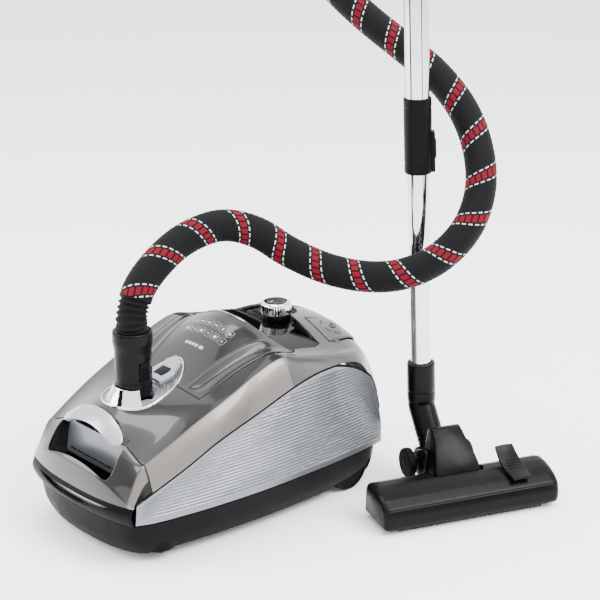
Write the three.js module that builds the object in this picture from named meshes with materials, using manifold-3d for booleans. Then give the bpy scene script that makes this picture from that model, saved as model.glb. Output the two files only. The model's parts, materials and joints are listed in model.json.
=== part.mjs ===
// Canister vacuum cleaner with hose, telescopic wand and floor head.
// Millimetres, +Z up. The canister's nose points along -Y, and everything stands on z = 0.
// The origin is the middle of the footprint on the floor, with the hose left out of the measure.
import * as THREE from 'three';
import { mergeVertices } from 'three/addons/utils/BufferGeometryUtils.js';
import Module from 'manifold-3d';

const wasm = await Module();
wasm.setup();

// ---------------------------------------------------------------- driving dimensions
const GAP = 0.5;              // seam between neighbouring shells
const WALL = 3;               // moulded shell thickness
const NOSE_Y = -247;          // foremost line of the canister
const LID_FRONT_Y = -203;     // seam between the nose cover and the dust lid
const TAIL_Y = 234;           // rearmost line of the canister
const BASE_Z = 14;            // underside of the chassis
const BAND_Z = 64;            // top of the black chassis band
const BUMPER_TOP_Z = 90;      // top of the black front bumper
const INLET = { x: 0, y: -138, z: 200, radius: 26 };
const BEZEL = { radius: 47, tail: 82, tongue: 20 };
const KNOB = { y: 120, z: 239, radius: 20, height: 31 };
const REAR_WHEEL = { x: 119, y: 150, radius: 34, width: 20 };
const CASTER = { x: 94, y: -177, radius: 16, width: 13, trail: 6, pocket: 24 };
const MOTOR = { x: -52, y: 45, z: 96, radius: 56, length: 118 };
const REEL = { x: 72, y: 128, z: 104, radius: 66, width: 40 };
const HOSE_RADIUS = 21;       // the covered hose
const UPPER_TUBE_RADIUS = 17;
const LOWER_TUBE_RADIUS = 15;
const TUBE_WALL = 1.2;
const HEAD = { x: 318.5, y: 208.5, turn: 69, length: 272 };
const WHEEL_AXIS = { y: 125, z: 45, radius: 21.5, x: 46 };
const HEAD_PIVOT = { y: 60, z: 34 };
const WAND_FOOT = { x: -5, y: 170, z: 112, lean: -0.04 };   // in the head's own axes
const CONNECTOR_TOP = 68;     // heights along the wand, from its foot
const SLEEVE = { from: 354, to: 461 };
const UPPER_TUBE_TOP = 900;
const LOWER_TUBE_TOP = 450;
const HANDLE_END = { y: 145, z: 1030, fall: 20.5 };   // where the hose leaves the handle

// ---------------------------------------------------------------- materials
function finish(color, roughness, metalness) {
  return new THREE.MeshStandardMaterial({ color, roughness, metalness });
}
const BLACK = finish(0x17161a, 0.45, 0);
const GLOSS_BLACK = finish(0x0c0c0e, 0.12, 0);
const METAL_GREY = finish(0x77777c, 0.3, 0.7);
const CHAMPAGNE = finish(0xb9b4b2, 0.3, 0.7);
const SILVER = finish(0xaab0b4, 0.4, 0.8);
const PALE_SILVER = finish(0xd6d9dd, 0.3, 0.5);
const CHROME = finish(0xdfe1e4, 0.08, 1);
const RUBBER = finish(0x202022, 0.8, 0);
const WHITE = finish(0xe4e2dc, 0.7, 0);
const COPPER = finish(0x9a5b34, 0.4, 0.9);
const TEXTILE = finish(0x15161a, 0.85, 0);
const BRISTLE = finish(0x2a2a2c, 0.9, 0);

// ---------------------------------------------------------------- geometry helpers
// A smooth line through [position, value] pairs (cubic pieces with averaged slopes).
function curve(points) {
  const slope = points.map((p, i) => {
    const a = points[Math.max(i - 1, 0)];
    const b = points[Math.min(i + 1, points.length - 1)];
    return (b[1] - a[1]) / (b[0] - a[0]);
  });
  return (at) => {
    let i = 0;
    while (i < points.length - 2 && at > points[i + 1][0]) i += 1;
    const [x0, y0] = points[i];
    const [x1, y1] = points[i + 1];
    const w = x1 - x0;
    const t = Math.min(Math.max((at - x0) / w, 0), 1);
    const bend = t * t * (3 - 2 * t);
    const start = t * (1 - t) * (1 - t) * w * slope[i];
    const end = t * t * (t - 1) * w * slope[i + 1];
    return y0 + (y1 - y0) * bend + start + end;
  };
}

const mix = (a, b, t) => a + (b - a) * t;
const clamp01 = (t) => Math.min(Math.max(t, 0), 1);

function geometryOf(positions, indices) {
  const geometry = new THREE.BufferGeometry();
  geometry.setAttribute('position', new THREE.Float32BufferAttribute(positions, 3));
  geometry.setIndex(indices);
  return geometry;
}

// A curved sheet with thickness. at(u, v) gives its outer face for u and v from 0 to 1,
// and the direction u x v points out of the sheet.
function shell(at, columns, rows, wall = WALL) {
  const step = 0.002;
  const outer = [];
  const inner = [];
  for (let j = 0; j <= rows; j += 1) {
    for (let i = 0; i <= columns; i += 1) {
      const u = i / columns;
      const v = j / rows;
      const p = at(u, v);
      const du = at(Math.min(u + step, 1), v).sub(at(Math.max(u - step, 0), v));
      const dv = at(u, Math.min(v + step, 1)).sub(at(u, Math.max(v - step, 0)));
      outer.push(p);
      inner.push(p.clone().addScaledVector(du.cross(dv).normalize(), -wall));
    }
  }
  const width = columns + 1;
  const below = outer.length;
  const indices = [];
  const quad = (a, b, c, d) => indices.push(a, b, c, a, c, d);
  for (let j = 0; j < rows; j += 1) {
    for (let i = 0; i < columns; i += 1) {
      const a = j * width + i;
      quad(a, a + 1, a + 1 + width, a + width);
      quad(below + a, below + a + width, below + a + 1 + width, below + a + 1);
    }
  }
  for (let i = 0; i < columns; i += 1) {
    const top = rows * width + i;
    quad(i + 1, i, below + i, below + i + 1);
    quad(top, top + 1, below + top + 1, below + top);
  }
  for (let j = 0; j < rows; j += 1) {
    const left = j * width;
    const right = left + columns;
    quad(left, left + width, below + left + width, below + left);
    quad(right + width, right, below + right, below + right + width);
  }
  const positions = [...outer, ...inner].flatMap((p) => [p.x, p.y, p.z]);
  return geometryOf(positions, indices);
}

// A solid through level outlines that all have the same number of points.
function stack(levels) {
  const count = levels[0].points.length;
  const positions = levels.flatMap(({ z, points }) => points.flatMap((p) => [p.x, p.y, z]));
  const indices = [];
  for (let k = 0; k < levels.length - 1; k += 1) {
    for (let i = 0; i < count; i += 1) {
      const a = k * count + i;
      const b = k * count + ((i + 1) % count);
      indices.push(a, b, b + count, a, b + count, a + count);
    }
  }
  const top = (levels.length - 1) * count;
  for (const [a, b, c] of THREE.ShapeUtils.triangulateShape(levels[0].points, [])) {
    indices.push(c, b, a);
  }
  for (const [a, b, c] of THREE.ShapeUtils.triangulateShape(levels.at(-1).points, [])) {
    indices.push(top + a, top + b, top + c);
  }
  return geometryOf(positions, indices);
}

function prism(points, from, to) {
  return stack([{ z: from, points }, { z: to, points }]);
}

function roundedBox(x, y, z, width, depth, height, radius) {
  const shape = [];
  const corners = [[1, 1, 0], [-1, 1, 90], [-1, -1, 180], [1, -1, 270]];
  for (const [sx, sy, start] of corners) {
    for (const turn of [0, 45, 90]) {
      const angle = THREE.MathUtils.degToRad(start + turn);
      const cx = x + sx * (width / 2 - radius);
      const cy = y + sy * (depth / 2 - radius);
      shape.push(new THREE.Vector2(cx + radius * Math.cos(angle), cy + radius * Math.sin(angle)));
    }
  }
  return prism(shape, z - height / 2, z + height / 2);
}

function box(width, depth, height, x = 0, y = 0, z = 0) {
  return new THREE.BoxGeometry(width, depth, height).translate(x, y, z);
}

// A solid of revolution about +Z from [radius, height] pairs.
function turned(profile, sides = 20) {
  const points = profile.map(([r, z]) => new THREE.Vector2(r, z));
  return new THREE.LatheGeometry(points, sides).rotateX(Math.PI / 2);
}

// A tube wall about +Z: an outer and an inner radius between two heights.
function sleeve(outer, inner, from, to, sides = 20) {
  return turned([[inner, from], [outer, from], [outer, to], [inner, to], [inner, from]], sides);
}

// Turns a stack built along +Z so that it runs along +X, its outline's x and y becoming y and z.
function crosswise(geometry) {
  const basis = new THREE.Matrix4().makeBasis(
    new THREE.Vector3(0, 1, 0), new THREE.Vector3(0, 0, 1), new THREE.Vector3(1, 0, 0),
  );
  return geometry.applyMatrix4(basis);
}

const alongX = (geometry) => geometry.rotateY(Math.PI / 2);
const alongY = (geometry) => geometry.rotateX(-Math.PI / 2);

// A bar of the given section carried along a smooth path.
function swept(points, section, steps) {
  const route = points.map((p) => new THREE.Vector3(...p));
  const extrudePath = new THREE.CatmullRomCurve3(route, false, 'centripetal');
  const settings = { steps, bevelEnabled: false, extrudePath };
  return new THREE.ExtrudeGeometry(new THREE.Shape(section), settings);
}

function oval(width, height, sides) {
  const ring = [];
  for (let i = 0; i < sides; i += 1) {
    const angle = (2 * Math.PI * i) / sides;
    ring.push(new THREE.Vector2(width * Math.cos(angle) / 2, height * Math.sin(angle) / 2));
  }
  return ring;
}

function solid(geometry) {
  const bare = geometry.clone();
  bare.deleteAttribute('normal');
  bare.deleteAttribute('uv');
  const merged = mergeVertices(bare, 1e-3);
  const corners = merged.index.array;
  const triangles = [];
  for (let i = 0; i < corners.length; i += 3) {
    const [a, b, c] = corners.slice(i, i + 3);
    if (a !== b && b !== c && c !== a) triangles.push(a, b, c);
  }
  return new wasm.Manifold(new wasm.Mesh({
    numProp: 3,
    vertProperties: new Float32Array(merged.attributes.position.array),
    triVerts: new Uint32Array(triangles),
  }));
}

function geometryFrom(body) {
  const mesh = body.getMesh();
  return geometryOf(Array.from(mesh.vertProperties), Array.from(mesh.triVerts));
}

function cut(geometry, ...cutters) {
  return geometryFrom(cutters.reduce((body, cutter) => body.subtract(solid(cutter)), solid(geometry)));
}

function joined(geometry, ...others) {
  return geometryFrom(others.reduce((body, other) => body.add(solid(other)), solid(geometry)));
}

function common(geometry, other) {
  return geometryFrom(solid(geometry).intersect(solid(other)));
}

// The same piece on the other side of the middle plane x = 0.
function mirrored(geometry) {
  const copy = geometry.clone().scale(-1, 1, 1);
  const index = Array.from(copy.index.array);
  for (let i = 0; i < index.length; i += 3) [index[i], index[i + 1]] = [index[i + 1], index[i]];
  copy.setIndex(index);
  return copy;
}

function add(group, name, geometry, material) {
  const mesh = new THREE.Mesh(geometry, material);
  mesh.name = name;
  group.add(mesh);
  return mesh;
}

// ---------------------------------------------------------------- the canister's outer surface
const halfWidth = curve([[-232, 112], [-203, 124], [-150, 134], [-100, 140.5], [-20, 146], [90, 146],
  [160, 142], [205, 136], [234, 126]]);
const crownZ = curve([[-205, 181], [-178, 191], [-140, 197], [-100, 202], [-82, 207], [-40, 235], [0, 259],
  [33, 270], [80, 266], [120, 257], [160, 247], [190, 235], [212, 214], [228, 182], [234, 148]]);
const creaseZ = curve([[-205, 142], [-155, 167], [-128, 180], [-67, 206], [-20, 226], [24, 238], [60, 231],
  [100, 224], [138, 217], [180, 210], [205, 196], [222, 172], [234, 144]]);
const creaseX = curve([[-205, 107], [-155, 114], [-67, 120], [24, 121], [100, 118], [160, 113], [205, 108],
  [234, 104]]);
const panelTopZ = curve([[-228, 92], [-203, 109], [-151, 134], [-103, 157], [-33, 181], [34, 201], [82, 209],
  [130, 208], [165, 198], [190, 178], [205, 158], [234, 138]]);
const crownPower = curve([[-205, 2], [-80, 1.5], [33, 2.5], [90, 1.8], [138, 1.25], [234, 1]]);
const noseY = (x) => NOSE_Y + 17 * (Math.abs(x) / 117) ** 2.6;
const tailY = (x) => TAIL_Y - 30 * (Math.abs(x) / 130) ** 3;
const panelLean = (z) => 7 * clamp01((z - BAND_Z) / 142) ** 2;

// Height of the top between the two creases.
function crownAt(x, y) {
  const s = Math.min(Math.abs(x) / creaseX(y), 1);
  return creaseZ(y) + (crownZ(y) - creaseZ(y)) * (1 - s * s) ** crownPower(y);
}

// A point of the upper body: t runs from the left panel edge (-1) over the crown to the right one (1).
function upperPoint(t, y) {
  const side = Math.sign(t);
  const reach = Math.abs(t);
  const crease = 0.76;
  let x;
  let z;
  if (reach <= crease) {
    x = creaseX(y) * reach / crease;
    z = crownAt(x, y);
  } else {
    const k = (reach - crease) / (1 - crease);
    const edgeX = halfWidth(y) - panelLean(panelTopZ(y));
    x = mix(creaseX(y), edgeX, k);
    z = mix(creaseZ(y), panelTopZ(y), k) + 4 * Math.sin(Math.PI * k);
  }
  const tuck = clamp01((y - 120) / (TAIL_Y - 120)) ** 2;
  return new THREE.Vector3(side * x, y - (TAIL_Y - tailY(x)) * tuck, z);
}

// Outline of the chassis, inset from the widest line, counter-clockwise from the nose.
function footprint(inset) {
  const half = [];
  for (const x of [0, 30, 60, 85, 104]) half.push([x * (1 - inset / 104), noseY(x) + inset]);
  for (const y of [-222 + inset, -203 + inset / 2, -165, -120, -60, 0, 60, 120, 165, 192 - inset / 2]) {
    half.push([halfWidth(y) - inset, y]);
  }
  for (const x of [124, 104, 70, 35, 0]) half.push([x * (1 - inset / 124), tailY(x) - inset]);
  const right = half.map(([x, y]) => new THREE.Vector2(x, y));
  const left = half.slice(1, -1).reverse().map(([x, y]) => new THREE.Vector2(-x, y));
  return [...right, ...left];
}

// ---------------------------------------------------------------- canister pieces
function chassis(group) {
  const outside = stack([
    { z: BASE_Z, points: footprint(14) },
    { z: 34, points: footprint(7) },
    { z: BAND_Z - 1, points: footprint(3) },
  ]);
  const inside = stack([
    { z: BASE_Z + WALL, points: footprint(18) },
    { z: 36, points: footprint(11) },
    { z: BAND_Z + 1, points: footprint(6.5) },
  ]);
  const cupRadius = CASTER.pocket + 2.5;
  const cupTop = BASE_Z + 32;
  const roof = cupTop - WALL;
  const stemHole = 5.4;
  const cups = [];
  const hollows = [];
  for (const side of [-1, 1]) {
    const cup = turned([[0, BASE_Z], [cupRadius, BASE_Z], [cupRadius, cupTop], [0, cupTop]], 24);
    cups.push(cup.translate(side * CASTER.x, CASTER.y, 0));
    const hollow = turned([[0, 0], [CASTER.pocket, 0], [CASTER.pocket, roof], [stemHole, roof],
      [stemHole, cupTop + 14], [0, cupTop + 14]]);
    hollows.push(hollow.translate(side * CASTER.x, CASTER.y, 0));
    const wellWidth = REAR_WHEEL.width + 8;
    const wellLength = 2 * REAR_WHEEL.radius + 10;
    hollows.push(box(wellWidth, wellLength, 60, side * REAR_WHEEL.x, REAR_WHEEL.y, BASE_Z));
  }
  const tub = joined(cut(outside, inside), ...cups);
  add(group, 'lower_chassis', cut(tub, ...hollows), BLACK);
}

function bumperBand(from, to, outset, wall, halfSpan) {
  const at = (u, v) => {
    const x = mix(-halfSpan, halfSpan, u);
    const bow = 4 * Math.sin(Math.PI * v);
    return new THREE.Vector3(x, noseY(x) - outset - bow, mix(from, to, v));
  };
  return shell(at, 14, 3, wall);
}

function bumper(group) {
  const reach = 86;
  const topZ = 83.5;
  const depth = 12;
  const slot = [];
  for (let i = 0; i <= 12; i += 1) {
    const x = mix(-reach, reach, i / 12);
    slot.push(new THREE.Vector2(x, topZ));
  }
  for (let i = 11; i >= 1; i -= 1) {
    const x = mix(-reach, reach, i / 12);
    slot.push(new THREE.Vector2(x, topZ - depth * Math.cos((Math.PI * x) / (2 * reach))));
  }
  const lens = prism(slot.reverse(), 200, 280).rotateX(Math.PI / 2);
  add(group, 'front_bumper', cut(bumperBand(BAND_Z, BUMPER_TOP_Z - GAP, 0, 5, 114), lens), BLACK);
  add(group, 'bumper_insert', bumperBand(69, 86, -7, 2, 92), PALE_SILVER);
}

// The nose: an upright lip over the bumper, then the shoulders rising to the lid seam.
function nosePoint(u, v) {
  const x = mix(-116, 116, u);
  const lipZ = 123 - 26 * (Math.abs(x) / 117) ** 2.2;
  const rise = 0.3;
  if (v < rise) {
    return new THREE.Vector3(x, noseY(x) + 3 * (v / rise) ** 2, mix(BUMPER_TOP_Z, lipZ, v / rise));
  }
  const k = (v - rise) / (1 - rise);
  const y = mix(noseY(x) + 3, LID_FRONT_Y - GAP, k);
  const topX = Math.min(Math.abs(x), 107);
  const drop = Math.max(Math.abs(x) - 107, 0) * 2.2;
  const seamZ = crownAt(topX, -205) - drop;
  return new THREE.Vector3(x, y, mix(lipZ, seamZ, Math.sin((Math.PI / 2) * k) ** 1.15));
}

function noseCover(group) {
  const opening = prism([
    new THREE.Vector2(-70, -238), new THREE.Vector2(-55, -241), new THREE.Vector2(55, -241),
    new THREE.Vector2(70, -238), new THREE.Vector2(72, -225), new THREE.Vector2(66, -195),
    new THREE.Vector2(-66, -195), new THREE.Vector2(-72, -225),
  ], 100, 240);
  add(group, 'nose_cover', cut(shell(nosePoint, 16, 9), opening), METAL_GREY);
  const tray = joined(
    box(148, 34, 3, 0, -220, 98),
    box(148, 3, 54, 0, -198, 118),
    box(148, 8, 3, 0, -201, 98),
  );
  add(group, 'recess_tray', tray, BLACK);
  const plate = roundedBox(0, 0, 0, 116, 36, 3, 6).rotateX(THREE.MathUtils.degToRad(80));
  add(group, 'recess_back_plate', plate.translate(0, -204.5, 131), SILVER);
}

function latchHandle(group) {
  const at = (u, v) => {
    const x = mix(-64, 64, u);
    const across = x / 64;
    const y = mix(-219 - 2 * across * across, -196 - 5 * across * across, v);
    const ridge = 184 + 0.62 * (y + 205);
    return new THREE.Vector3(x, y, ridge - 21 * Math.abs(across) ** 2.2);
  };
  add(group, 'latch_handle', shell(at, 12, 2, 6), PALE_SILVER);
}

function accessoryEdgeX(y) {
  return mix(85, 104, clamp01((y + 92) / 140));
}

function controlFrontY(x) {
  return 33 + 28 * (x / 100) ** 2;
}

// Outline of the egg-shaped bezel round the inlet: round at the front, drawn out to the rear.
function eggOutline(inset) {
  const outline = [];
  for (let i = 0; i < 28; i += 1) {
    const angle = (2 * Math.PI * i) / 28;
    const rear = Math.max(Math.sin(angle), 0);
    const reach = rear > 0 ? BEZEL.tail : BEZEL.radius;
    const slim = 1 - 0.12 * rear;
    outline.push(new THREE.Vector2(
      INLET.x + (BEZEL.radius - inset) * slim * Math.cos(angle),
      INLET.y + (reach - inset) * Math.sin(angle),
    ));
  }
  return outline;
}

function lids(group) {
  const lidAt = (u, v) => upperPoint(mix(-1, 1, u), mix(LID_FRONT_Y, 29, v));
  const opening = prism([
    new THREE.Vector2(-86, -93), new THREE.Vector2(86, -93), new THREE.Vector2(106, 48),
    new THREE.Vector2(106, 90), new THREE.Vector2(-106, 90), new THREE.Vector2(-106, 48),
  ], 60, 320);
  const throat = prism(eggOutline(0), 100, 300);
  const notch = prism([
    new THREE.Vector2(-67, -210), new THREE.Vector2(67, -210), new THREE.Vector2(67, -196),
    new THREE.Vector2(33, -191), new THREE.Vector2(-33, -191), new THREE.Vector2(-67, -196),
  ], 60, 320);
  add(group, 'dust_lid', cut(shell(lidAt, 20, 10), opening, throat, notch), METAL_GREY);

  const accessoryAt = (u, v) => {
    const t = mix(-1, 1, u);
    const rear = controlFrontY(accessoryEdgeX(40) * t) - GAP;
    const y = mix(-92, rear, v);
    const x = (accessoryEdgeX(y) - GAP) * t;
    return new THREE.Vector3(x, y, crownAt(x, y));
  };
  add(group, 'accessory_lid', cut(shell(accessoryAt, 12, 8), throat), METAL_GREY);
}

// Outline of the sunken glossy panel, with a round bay for the knob.
function controlOutline(inset) {
  const edge = [];
  for (const x of [-98, -66, -33, 0, 33, 66, 98]) {
    edge.push(new THREE.Vector2(x * (1 - inset / 98), controlFrontY(x) + inset));
  }
  edge.push(new THREE.Vector2(101 - inset, 104));
  edge.push(new THREE.Vector2(96 - inset, 117 - inset));
  edge.push(new THREE.Vector2(32, 120 - inset));
  for (const angle of [15, 50, 90, 130, 165]) {
    const a = THREE.MathUtils.degToRad(angle);
    edge.push(new THREE.Vector2((30 - inset) * Math.cos(a), 120 + (30 - inset) * Math.sin(a)));
  }
  edge.push(new THREE.Vector2(-32, 120 - inset));
  edge.push(new THREE.Vector2(-96 + inset, 117 - inset));
  edge.push(new THREE.Vector2(-101 + inset, 104));
  return edge;
}

function pedalOutline(inset) {
  return [
    new THREE.Vector2(42 + inset, 137 + inset), new THREE.Vector2(95 - inset, 137 + inset),
    new THREE.Vector2(98 - inset, 150), new THREE.Vector2(87 - inset, 196 - inset),
    new THREE.Vector2(78, 200 - inset), new THREE.Vector2(42 + inset, 194 - inset),
  ];
}

function pedalPlate() {
  const at = (u, v) => {
    const y = mix(138, mix(193, 199, u), v);
    const x = mix(43, mix(95, 85, v * v), u);
    return new THREE.Vector3(x, y, crownAt(x, y) + 1.5);
  };
  return shell(at, 4, 4, 6);
}

function rearHood(group) {
  const at = (u, v) => upperPoint(mix(-1, 1, u), mix(29 + GAP, TAIL_Y, v));
  const front = prism([
    new THREE.Vector2(-106, 0), new THREE.Vector2(106, 0), new THREE.Vector2(106, 60),
    new THREE.Vector2(101.5, 66), new THREE.Vector2(-101.5, 66), new THREE.Vector2(-106, 60),
  ], 100, 320);
  const panel = prism(controlOutline(-0.6), 60, 320);
  const right = prism(pedalOutline(-0.8), 60, 320);
  const left = mirrored(right);
  add(group, 'rear_hood', cut(shell(at, 20, 12), front, panel, right, left), CHAMPAGNE);
  const floorZ = (x, y) => 242 - 0.04 * (y - 40) - 12 * (x / 100) ** 2;
  const bed = (x, y) => new THREE.Vector3(x, y, floorZ(x, y));
  const sheet = shell((u, v) => bed(mix(-108, 108, u), mix(20, 160, v)), 8, 2, 3);
  const mask = prism(controlOutline(0.3), 60, 320);
  const shaftHole = turned([[0, 200], [5, 200], [5, 260], [0, 260]], 12).translate(0, KNOB.y, 0);
  add(group, 'control_panel', cut(common(sheet, mask), shaftHole), GLOSS_BLACK);
  add(group, 'power_pedal', pedalPlate(), CHAMPAGNE);
  add(group, 'rewind_pedal', mirrored(pedalPlate()), CHAMPAGNE);
}

function knob(group) {
  const base = sleeve(KNOB.radius + 1, 6, 0.8, 9).translate(0, KNOB.y, KNOB.z);
  add(group, 'knob_base', base, CHROME);
  const cap = turned([[0, -8], [4, -8], [4, 9.4], [KNOB.radius, 9.4], [KNOB.radius, KNOB.height - 3],
    [KNOB.radius - 3, KNOB.height], [0, KNOB.height]]).translate(0, KNOB.y, KNOB.z);
  add(group, 'power_knob', cap, CHROME);
}

function panelPoint(u, v) {
  const y = mix(mix(-200, -224, v), 204, u);
  const top = panelTopZ(y) - 3.2;
  const fall = 60 * clamp01((y - 180) / 26) ** 2 + 12 * clamp01((y - 110) / 60);
  const z = mix(BAND_Z + GAP, top, v) - fall * clamp01((v - 0.3) / 0.7);
  const lean = panelLean(z);
  return new THREE.Vector3(halfWidth(y) - lean, y, z);
}

function sidePanels(group) {
  const panel = shell(panelPoint, 16, 3);
  add(group, 'side_panel_right', panel, SILVER);
  add(group, 'side_panel_left', mirrored(panel), SILVER);
}

function rearCover(group) {
  const at = (u, v) => {
    const x = mix(118, -118, u);
    return new THREE.Vector3(x, tailY(x) - 3 * (1 - v), mix(BAND_Z + GAP, 136, v));
  };
  const slots = [];
  for (let i = 0; i < 5; i += 1) slots.push(box(150, 60, 5, 0, TAIL_Y, 78 + i * 11));
  const hole = alongY(turned([[0, -30], [7.5, -30], [7.5, 30], [0, 30]], 16)).translate(96, 218, 100);
  add(group, 'exhaust_cover', cut(shell(at, 12, 2), ...slots, hole), BLACK);
  add(group, 'exhaust_filter', box(150, 16, 62, 0, 209, 100), WHITE);
  const gland = alongY(turned([[3.6, -6], [7, -6], [7, 2], [10, 2], [10, 5], [3.6, 5], [3.6, -6]], 16));
  add(group, 'cord_outlet', gland.translate(96, tailY(96) + 2, 100), BLACK);
}

function inlet(group) {
  const skin = (lift, wall) => shell((u, v) => {
    const x = mix(-60, 60, u);
    const y = mix(-200, -40, v);
    return new THREE.Vector3(x, y, crownAt(x, y) + lift);
  }, 8, 10, wall);
  const tongueOutline = (width, from, to) => [
    new THREE.Vector2(-width, from), new THREE.Vector2(width, from), new THREE.Vector2(width, to - 24),
    new THREE.Vector2(width * 0.7, to - 6), new THREE.Vector2(0, to), new THREE.Vector2(-width * 0.7, to - 6),
    new THREE.Vector2(-width, to - 24),
  ];
  const hole = turned([[0, 100], [INLET.radius + 0.6, 100], [INLET.radius + 0.6, 300], [0, 300]])
    .translate(INLET.x, INLET.y, 0);
  const slot = prism(tongueOutline(BEZEL.tongue + 1.2, -116, -66), 100, 300);
  const bezel = common(skin(1.5, 6), prism(eggOutline(0.7), 100, 300));
  add(group, 'inlet_bezel', cut(bezel, hole, slot), CHROME);
  const tongue = common(skin(9, 4.5), prism(tongueOutline(BEZEL.tongue, -109, -63), 100, 300));
  add(group, 'release_button', tongue, CHROME);
  const seal = sleeve(34, INLET.radius - 1, -26, -22);
  add(group, 'inlet_seal', seal.translate(INLET.x, INLET.y, INLET.z), RUBBER);
}

function dustChamber(group) {
  const holder = cut(
    roundedBox(0, INLET.y, 164, 120, 76, 4, 10),
    turned([[0, 150], [22, 150], [22, 190], [0, 190]], 20).translate(0, INLET.y, 0),
  );
  add(group, 'bag_holder', holder, BLACK);
  const bagLevel = (z, reach) => {
    const points = [];
    for (let i = 0; i < 24; i += 1) {
      const a = (2 * Math.PI * i) / 24;
      const cx = Math.sign(Math.cos(a)) * Math.abs(Math.cos(a)) ** 0.6;
      const cy = Math.sign(Math.sin(a)) * Math.abs(Math.sin(a)) ** 0.6;
      points.push(new THREE.Vector2(100 * reach * cx, -88 + 84 * reach * cy));
    }
    return { z, points };
  };
  const levels = [[24, 0.7], [40, 0.95], [90, 1], [140, 0.92], [160, 0.6]];
  add(group, 'dust_bag', stack(levels.map(([z, reach]) => bagLevel(z, reach))), WHITE);
  add(group, 'pre_motor_filter', box(170, 8, 110, 0, 8, 90), WHITE);
  const bulkhead = cut(
    box(236, 4, 166, 0, 20, 102),
    alongY(turned([[0, -10], [30, -10], [30, 10], [0, 10]], 20)).translate(MOTOR.x, 20, MOTOR.z),
  );
  add(group, 'bulkhead', bulkhead, BLACK);
}

function drive(group) {
  const housing = alongY(turned([[24, 0], [MOTOR.radius, 0], [MOTOR.radius, MOTOR.length],
    [MOTOR.radius - 4, MOTOR.length], [MOTOR.radius - 4, 4], [24, 4], [24, 0]]));
  add(group, 'motor_housing', housing.translate(MOTOR.x, MOTOR.y, MOTOR.z), BLACK);
  const fan = alongY(turned([[0, 8], [46, 8], [46, 30], [14, 34], [14, 50], [34, 54], [34, 92], [8, 96],
    [8, 108], [0, 108]], 20));
  add(group, 'motor_armature', fan.translate(MOTOR.x, MOTOR.y, MOTOR.z), COPPER);
  const mount = alongY(sleeve(50, 32, 0.5, MOTOR.y - 22.5)).translate(MOTOR.x, 22, MOTOR.z);
  add(group, 'motor_mount', mount, RUBBER);
  const drum = alongX(turned([[0, -6], [5, -6], [5, 0], [REEL.radius, 0], [REEL.radius, 3], [30, 3],
    [30, REEL.width - 3], [REEL.radius, REEL.width - 3], [REEL.radius, REEL.width], [5, REEL.width],
    [5, REEL.width + 6], [0, REEL.width + 6]]));
  add(group, 'cord_reel', drum.translate(REEL.x - REEL.width / 2, REEL.y, REEL.z), BLACK);
}

function runningGear(group) {
  const reach = REAR_WHEEL.x + REAR_WHEEL.width / 2 + 1;
  const axle = alongX(turned([[0, -reach], [4, -reach], [4, reach], [0, reach]], 12));
  add(group, 'rear_axle', axle.translate(0, REAR_WHEEL.y, REAR_WHEEL.radius), SILVER);
  for (const [name, side] of [['left', -1], ['right', 1]]) {
    const half = REAR_WHEEL.width / 2;
    const rim = REAR_WHEEL.radius;
    const wheel = alongX(turned([[4.4, -half], [rim - 2, -half], [rim, -half + 3], [rim, half - 3],
      [rim - 2, half], [4.4, half], [4.4, -half]]));
    add(group, `rear_wheel_${name}`, wheel.translate(side * REAR_WHEEL.x, REAR_WHEEL.y, rim), BLACK);

    const arm = CASTER.width / 2 + 0.7;
    const fork = joined(
      box(2 * arm + 5, 18, 3, 0, 2, 40.5),
      turned([[0, 40], [5, 40], [5, 56], [0, 56]], 12),
      box(2.5, 12, 30, arm + 1.25, CASTER.trail, 26),
      box(2.5, 12, 30, -arm - 1.25, CASTER.trail, 26),
    );
    const bore = alongX(turned([[0, -20], [2.4, -20], [2.4, 20], [0, 20]], 10))
      .translate(0, CASTER.trail, CASTER.radius);
    const caster = new THREE.Group();
    caster.position.set(side * CASTER.x, CASTER.y, 0);
    group.add(caster);
    add(caster, `caster_fork_${name}`, cut(fork, bore), BLACK);
    const w = CASTER.width / 2;
    const roller = alongX(turned([[0, -arm - 4], [2, -arm - 4], [2, -w], [CASTER.radius - 1.5, -w],
      [CASTER.radius, -w + 2], [CASTER.radius, w - 2], [CASTER.radius - 1.5, w], [2, w], [2, arm + 4],
      [0, arm + 4]], 20));
    add(caster, `caster_wheel_${name}`, roller.translate(0, CASTER.trail, CASTER.radius), RUBBER);
  }
}

// ---------------------------------------------------------------- hose
const CUFF = { from: INLET.z - 6, to: 286, radius: 25.5, bore: 18 };

// The hose's centre line, from the canister's cuff up to the handle's swivel.
const HOSE_ROUTE = [
  [0, -138, 286.8], [0, -137.9, 305], [-5, -121, 338], [-9, -84, 368], [-8, -36, 392], [4, 18, 402],
  [24, 62, 388], [56, 98, 358], [102, 131, 337], [150, 163, 331], [187, 194, 338], [217, 232, 361],
  [232, 270, 400], [228, 298, 448], [208, 312, 500], [174, 316, 549], [130, 306, 593], [82, 287, 628],
  [38, 269, 659], [1, 256, 687], [-32, 252, 711], [-66, 257, 741], [-105, 270, 788], [-136, 286, 846],
  [-153, 303, 914], [-154, 316, 984], [-137, 321, 1046], [-104, 316, 1091], [-66, 307.6, 1111.5],
  [-41.9, 298.2, 1121.1],
];

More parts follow.
